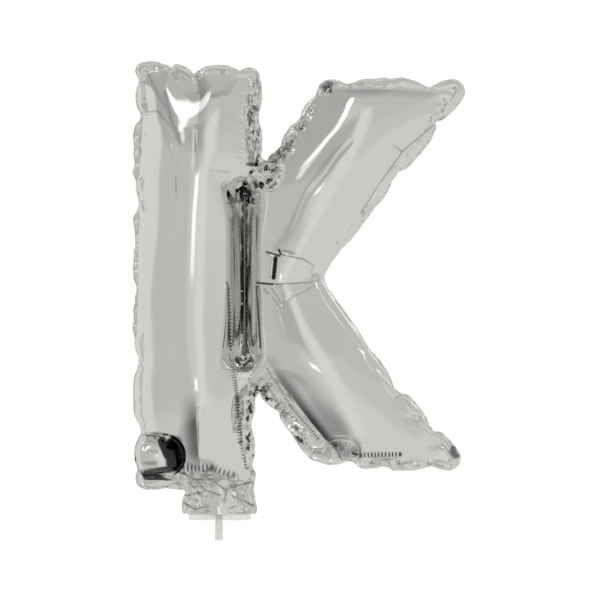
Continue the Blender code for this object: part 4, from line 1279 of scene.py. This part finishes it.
# A film that arches over the straw and waves where it hangs free under the neck.
def addValveFilm(side, name, cadNode):
    x = np.linspace(valve["left"], valve["right"], valve["columns"])
    share = np.linspace(0, 1, valve["rows"])[:, None]
    low = valve["low"] + wander(x, valve["edgeWave"], valve["edgeRun"], 15 + side)
    z = low + (valve["high"] - low) * share
    x = x + 0 * z
    arch = overStraw(x, z, valve["arch"], valve["archHalf"], 1)
    free = easing(-z, -valve["freeUnder"], valve["freeUnder"]) * (1 - np.exp(-(x / valve["held"]) ** 2))
    waves = sum(amount * lineNoise(x / runX + z / runZ, seed) for amount, runX, runZ, seed in valve["waves"])
    depth = side * np.maximum(arch, valve["inside"]) + valve["wave"] * free * waves
    inner = np.stack([x, depth, z], axis=-1)
    outer = inner + np.array((0, side * valve["wall"], 0))
    points, shell = gridShell(*((outer, inner) if side < 0 else (inner, outer)))
    piece = addPiece(name, points, shell, clearFilm, "envelope", "clear_film", points[:, [0, 2]])
    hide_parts(cadNode)


# The filling straw: a plain thin tube with softly rounded ends

straw = {"radius": 0.0031, "wall": 0.00035, "low": -0.0218, "high": 0.1032, "around": 64, "rings": 60,
         "round": 0.00012}


# Rings up the outside, over the upper end, down the inside and round the lower end.
def addStraw():
    outside, inside, edge = straw["radius"], straw["radius"] - straw["wall"], straw["round"]
    z = np.linspace(straw["low"] + edge, straw["high"] - edge, straw["rings"])
    radii = np.concatenate([np.full(len(z), outside), [outside - edge, inside + edge],
                            np.full(len(z), inside), [inside + edge, outside - edge]])
    heights = np.concatenate([z, [straw["high"]] * 2, z[::-1], [straw["low"]] * 2])
    turn = np.linspace(0, 2 * math.pi, straw["around"], endpoint=False)
    points = np.stack([radii[:, None] * np.cos(turn), radii[:, None] * np.sin(turn),
                       heights[:, None] + 0 * turn], axis=-1).reshape(-1, 3)
    shell = tubeFaces(len(radii), straw["around"])
    piece = addPiece("straw_tube", points, shell, strawPlastic, "straw", "straw_plastic")
    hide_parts("filling_straw")


addEdgeWeld()
addStemWeld(sheets[0])
addValveFilm(-1, "front_valve_film", "valve_film_front")
addValveFilm(1, "back_valve_film", "valve_film_back")
addStraw()


# Camera, floor and light

view = {"middleX": 0.0632, "middleZ": 0.1654, "distance": 1.6, "frameWidth": 0.468, "sensor": 36.0}


# A level camera in front of the letter; the lens gives the frame's width at the seam plane.
def addCamera():
    data = bpy.data.cameras.new("camera")
    data.sensor_width = view["sensor"]
    data.lens = view["sensor"] * view["distance"] / view["frameWidth"]
    camera = bpy.data.objects.new("camera", data)
    camera.location = (view["middleX"], -view["distance"], view["middleZ"])
    camera.rotation_euler = (math.pi / 2, 0, 0)
    bpy.context.scene.collection.objects.link(camera)
    bpy.context.scene.camera = camera


floorPlate = {"half": 1.4, "level": -0.30}


# A square plate that the foil doesn't mirror
def addFloor():
    corners = [(x * floorPlate["half"], y * floorPlate["half"], floorPlate["level"])
               for x, y in ((-1, -1), (1, -1), (1, 1), (-1, 1))]
    mesh = bpy.data.meshes.new("floor")
    mesh.from_pydata(corners, [], [(0, 1, 2, 3)])
    mesh.materials.append(paleFloor)
    floor = bpy.data.objects.new("floor", mesh)
    bpy.context.scene.collection.objects.link(floor)
    floor.visible_glossy = False


# The studio seen in the foil, each row laid over those before it.
# Columns: azimuth, elevation, half width, half height, softness, all in degrees, and brightness.
# Azimuth 0 is towards the camera, 90 towards +X.
studio = (
    (0, 90, 360, 36, 30, 0.54),      # ceiling
    (74, 38, 66, 24, 24, 0.58),      # upper right
    (-82, 45, 56, 28, 14, 0.465),    # upper left
    (-112, -6, 38, 27, 6, 0.75),     # pale panel at the left
    (-38, -4, 33, 14, 10, 0.575),    # room between it and the camera
    (-26, 24, 38, 13, 14, 0.49),     # and higher up
    (88, -45, 82, 45, 6, 0.70),      # lower right
    (62, 10, 50, 11, 14, 0.63),      # room at the right
    (17, 0, 8, 44, 10, 0.77),        # lit beside the camera
    (180, 0, 34, 60, 20, 0.66),      # wall behind
    (4, -2, 3, 2.4, 2, 1.20),        # lamp beside the camera
    (-20, 59, 7, 7, 7, 1.40),        # softbox over the camera
    (-20, 49, 5, 7, 6, 1.40),        # and its narrower parts down to its end
    (-20, 40, 4, 6, 5, 1.30),
    (-23, 32, 3.5, 6, 5, 1.30),
    (-21, 21, 3, 5, 4, 0.90),
    (-46, -48, 52, 20, 16, 0.56),    # dark below, to the left
    (-11, -41, 17, 17, 22, 0.34),    # and its darkest part
    (0, -90, 360, 14, 10, 0.50),     # floor under the letter
    (138, 26, 8, 6, 6, 1.20),        # lamps behind, seen mostly in the crinkles
    (-140, 30, 10, 8, 6, 1.40),
    (-150, -35, 10, 8, 6, 1.40),
)
studioBase = 0.66
studioTint = (1, 1, 0.985, 1)


# World light from the table: a row's mask is full inside its half width and height and soft at their
# edges. What the camera sees directly is plain white.
def addWorld():
    world = bpy.data.worlds.new("studio")
    bpy.context.scene.world = world
    world.use_nodes = True
    tree = world.node_tree
    tree.nodes.clear()
    way = node(tree, "ShaderNodeTexCoord").outputs["Generated"]
    way = node(tree, "ShaderNodeSeparateXYZ", {0: way}).outputs
    azimuth = numbers(tree, "ARCTAN2", way["X"], numbers(tree, "MULTIPLY", way["Y"], -1.0))
    azimuth = numbers(tree, "DEGREES", azimuth)
    elevation = numbers(tree, "DEGREES", numbers(tree, "ARCSINE", way["Z"]))
    value = studioBase
    for turn, rise, halfWidth, halfHeight, soft, brightness in studio:
        beside = numbers(tree, "WRAP", numbers(tree, "SUBTRACT", azimuth, float(turn)), -180.0, 180.0)
        above = numbers(tree, "SUBTRACT", elevation, float(rise))
        masks = [rising(tree, numbers(tree, "ABSOLUTE", off), half + soft / 2, half - soft / 2)
                 for off, half in ((beside, halfWidth), (above, halfHeight))]
        value = between(tree, numbers(tree, "MULTIPLY", *masks), value, brightness)
    direct = node(tree, "ShaderNodeLightPath").outputs["Is Camera Ray"]
    background = node(tree, "ShaderNodeBackground", {"Color": studioTint,
                      "Strength": between(tree, direct, value, 1.0)})
    out = node(tree, "ShaderNodeOutputWorld")
    tree.links.new(background.outputs[0], out.inputs[0])


addCamera()
addFloor()
addWorld()
bpy.context.scene.view_settings.view_transform = "Standard"
print("camera, floor and studio ready")
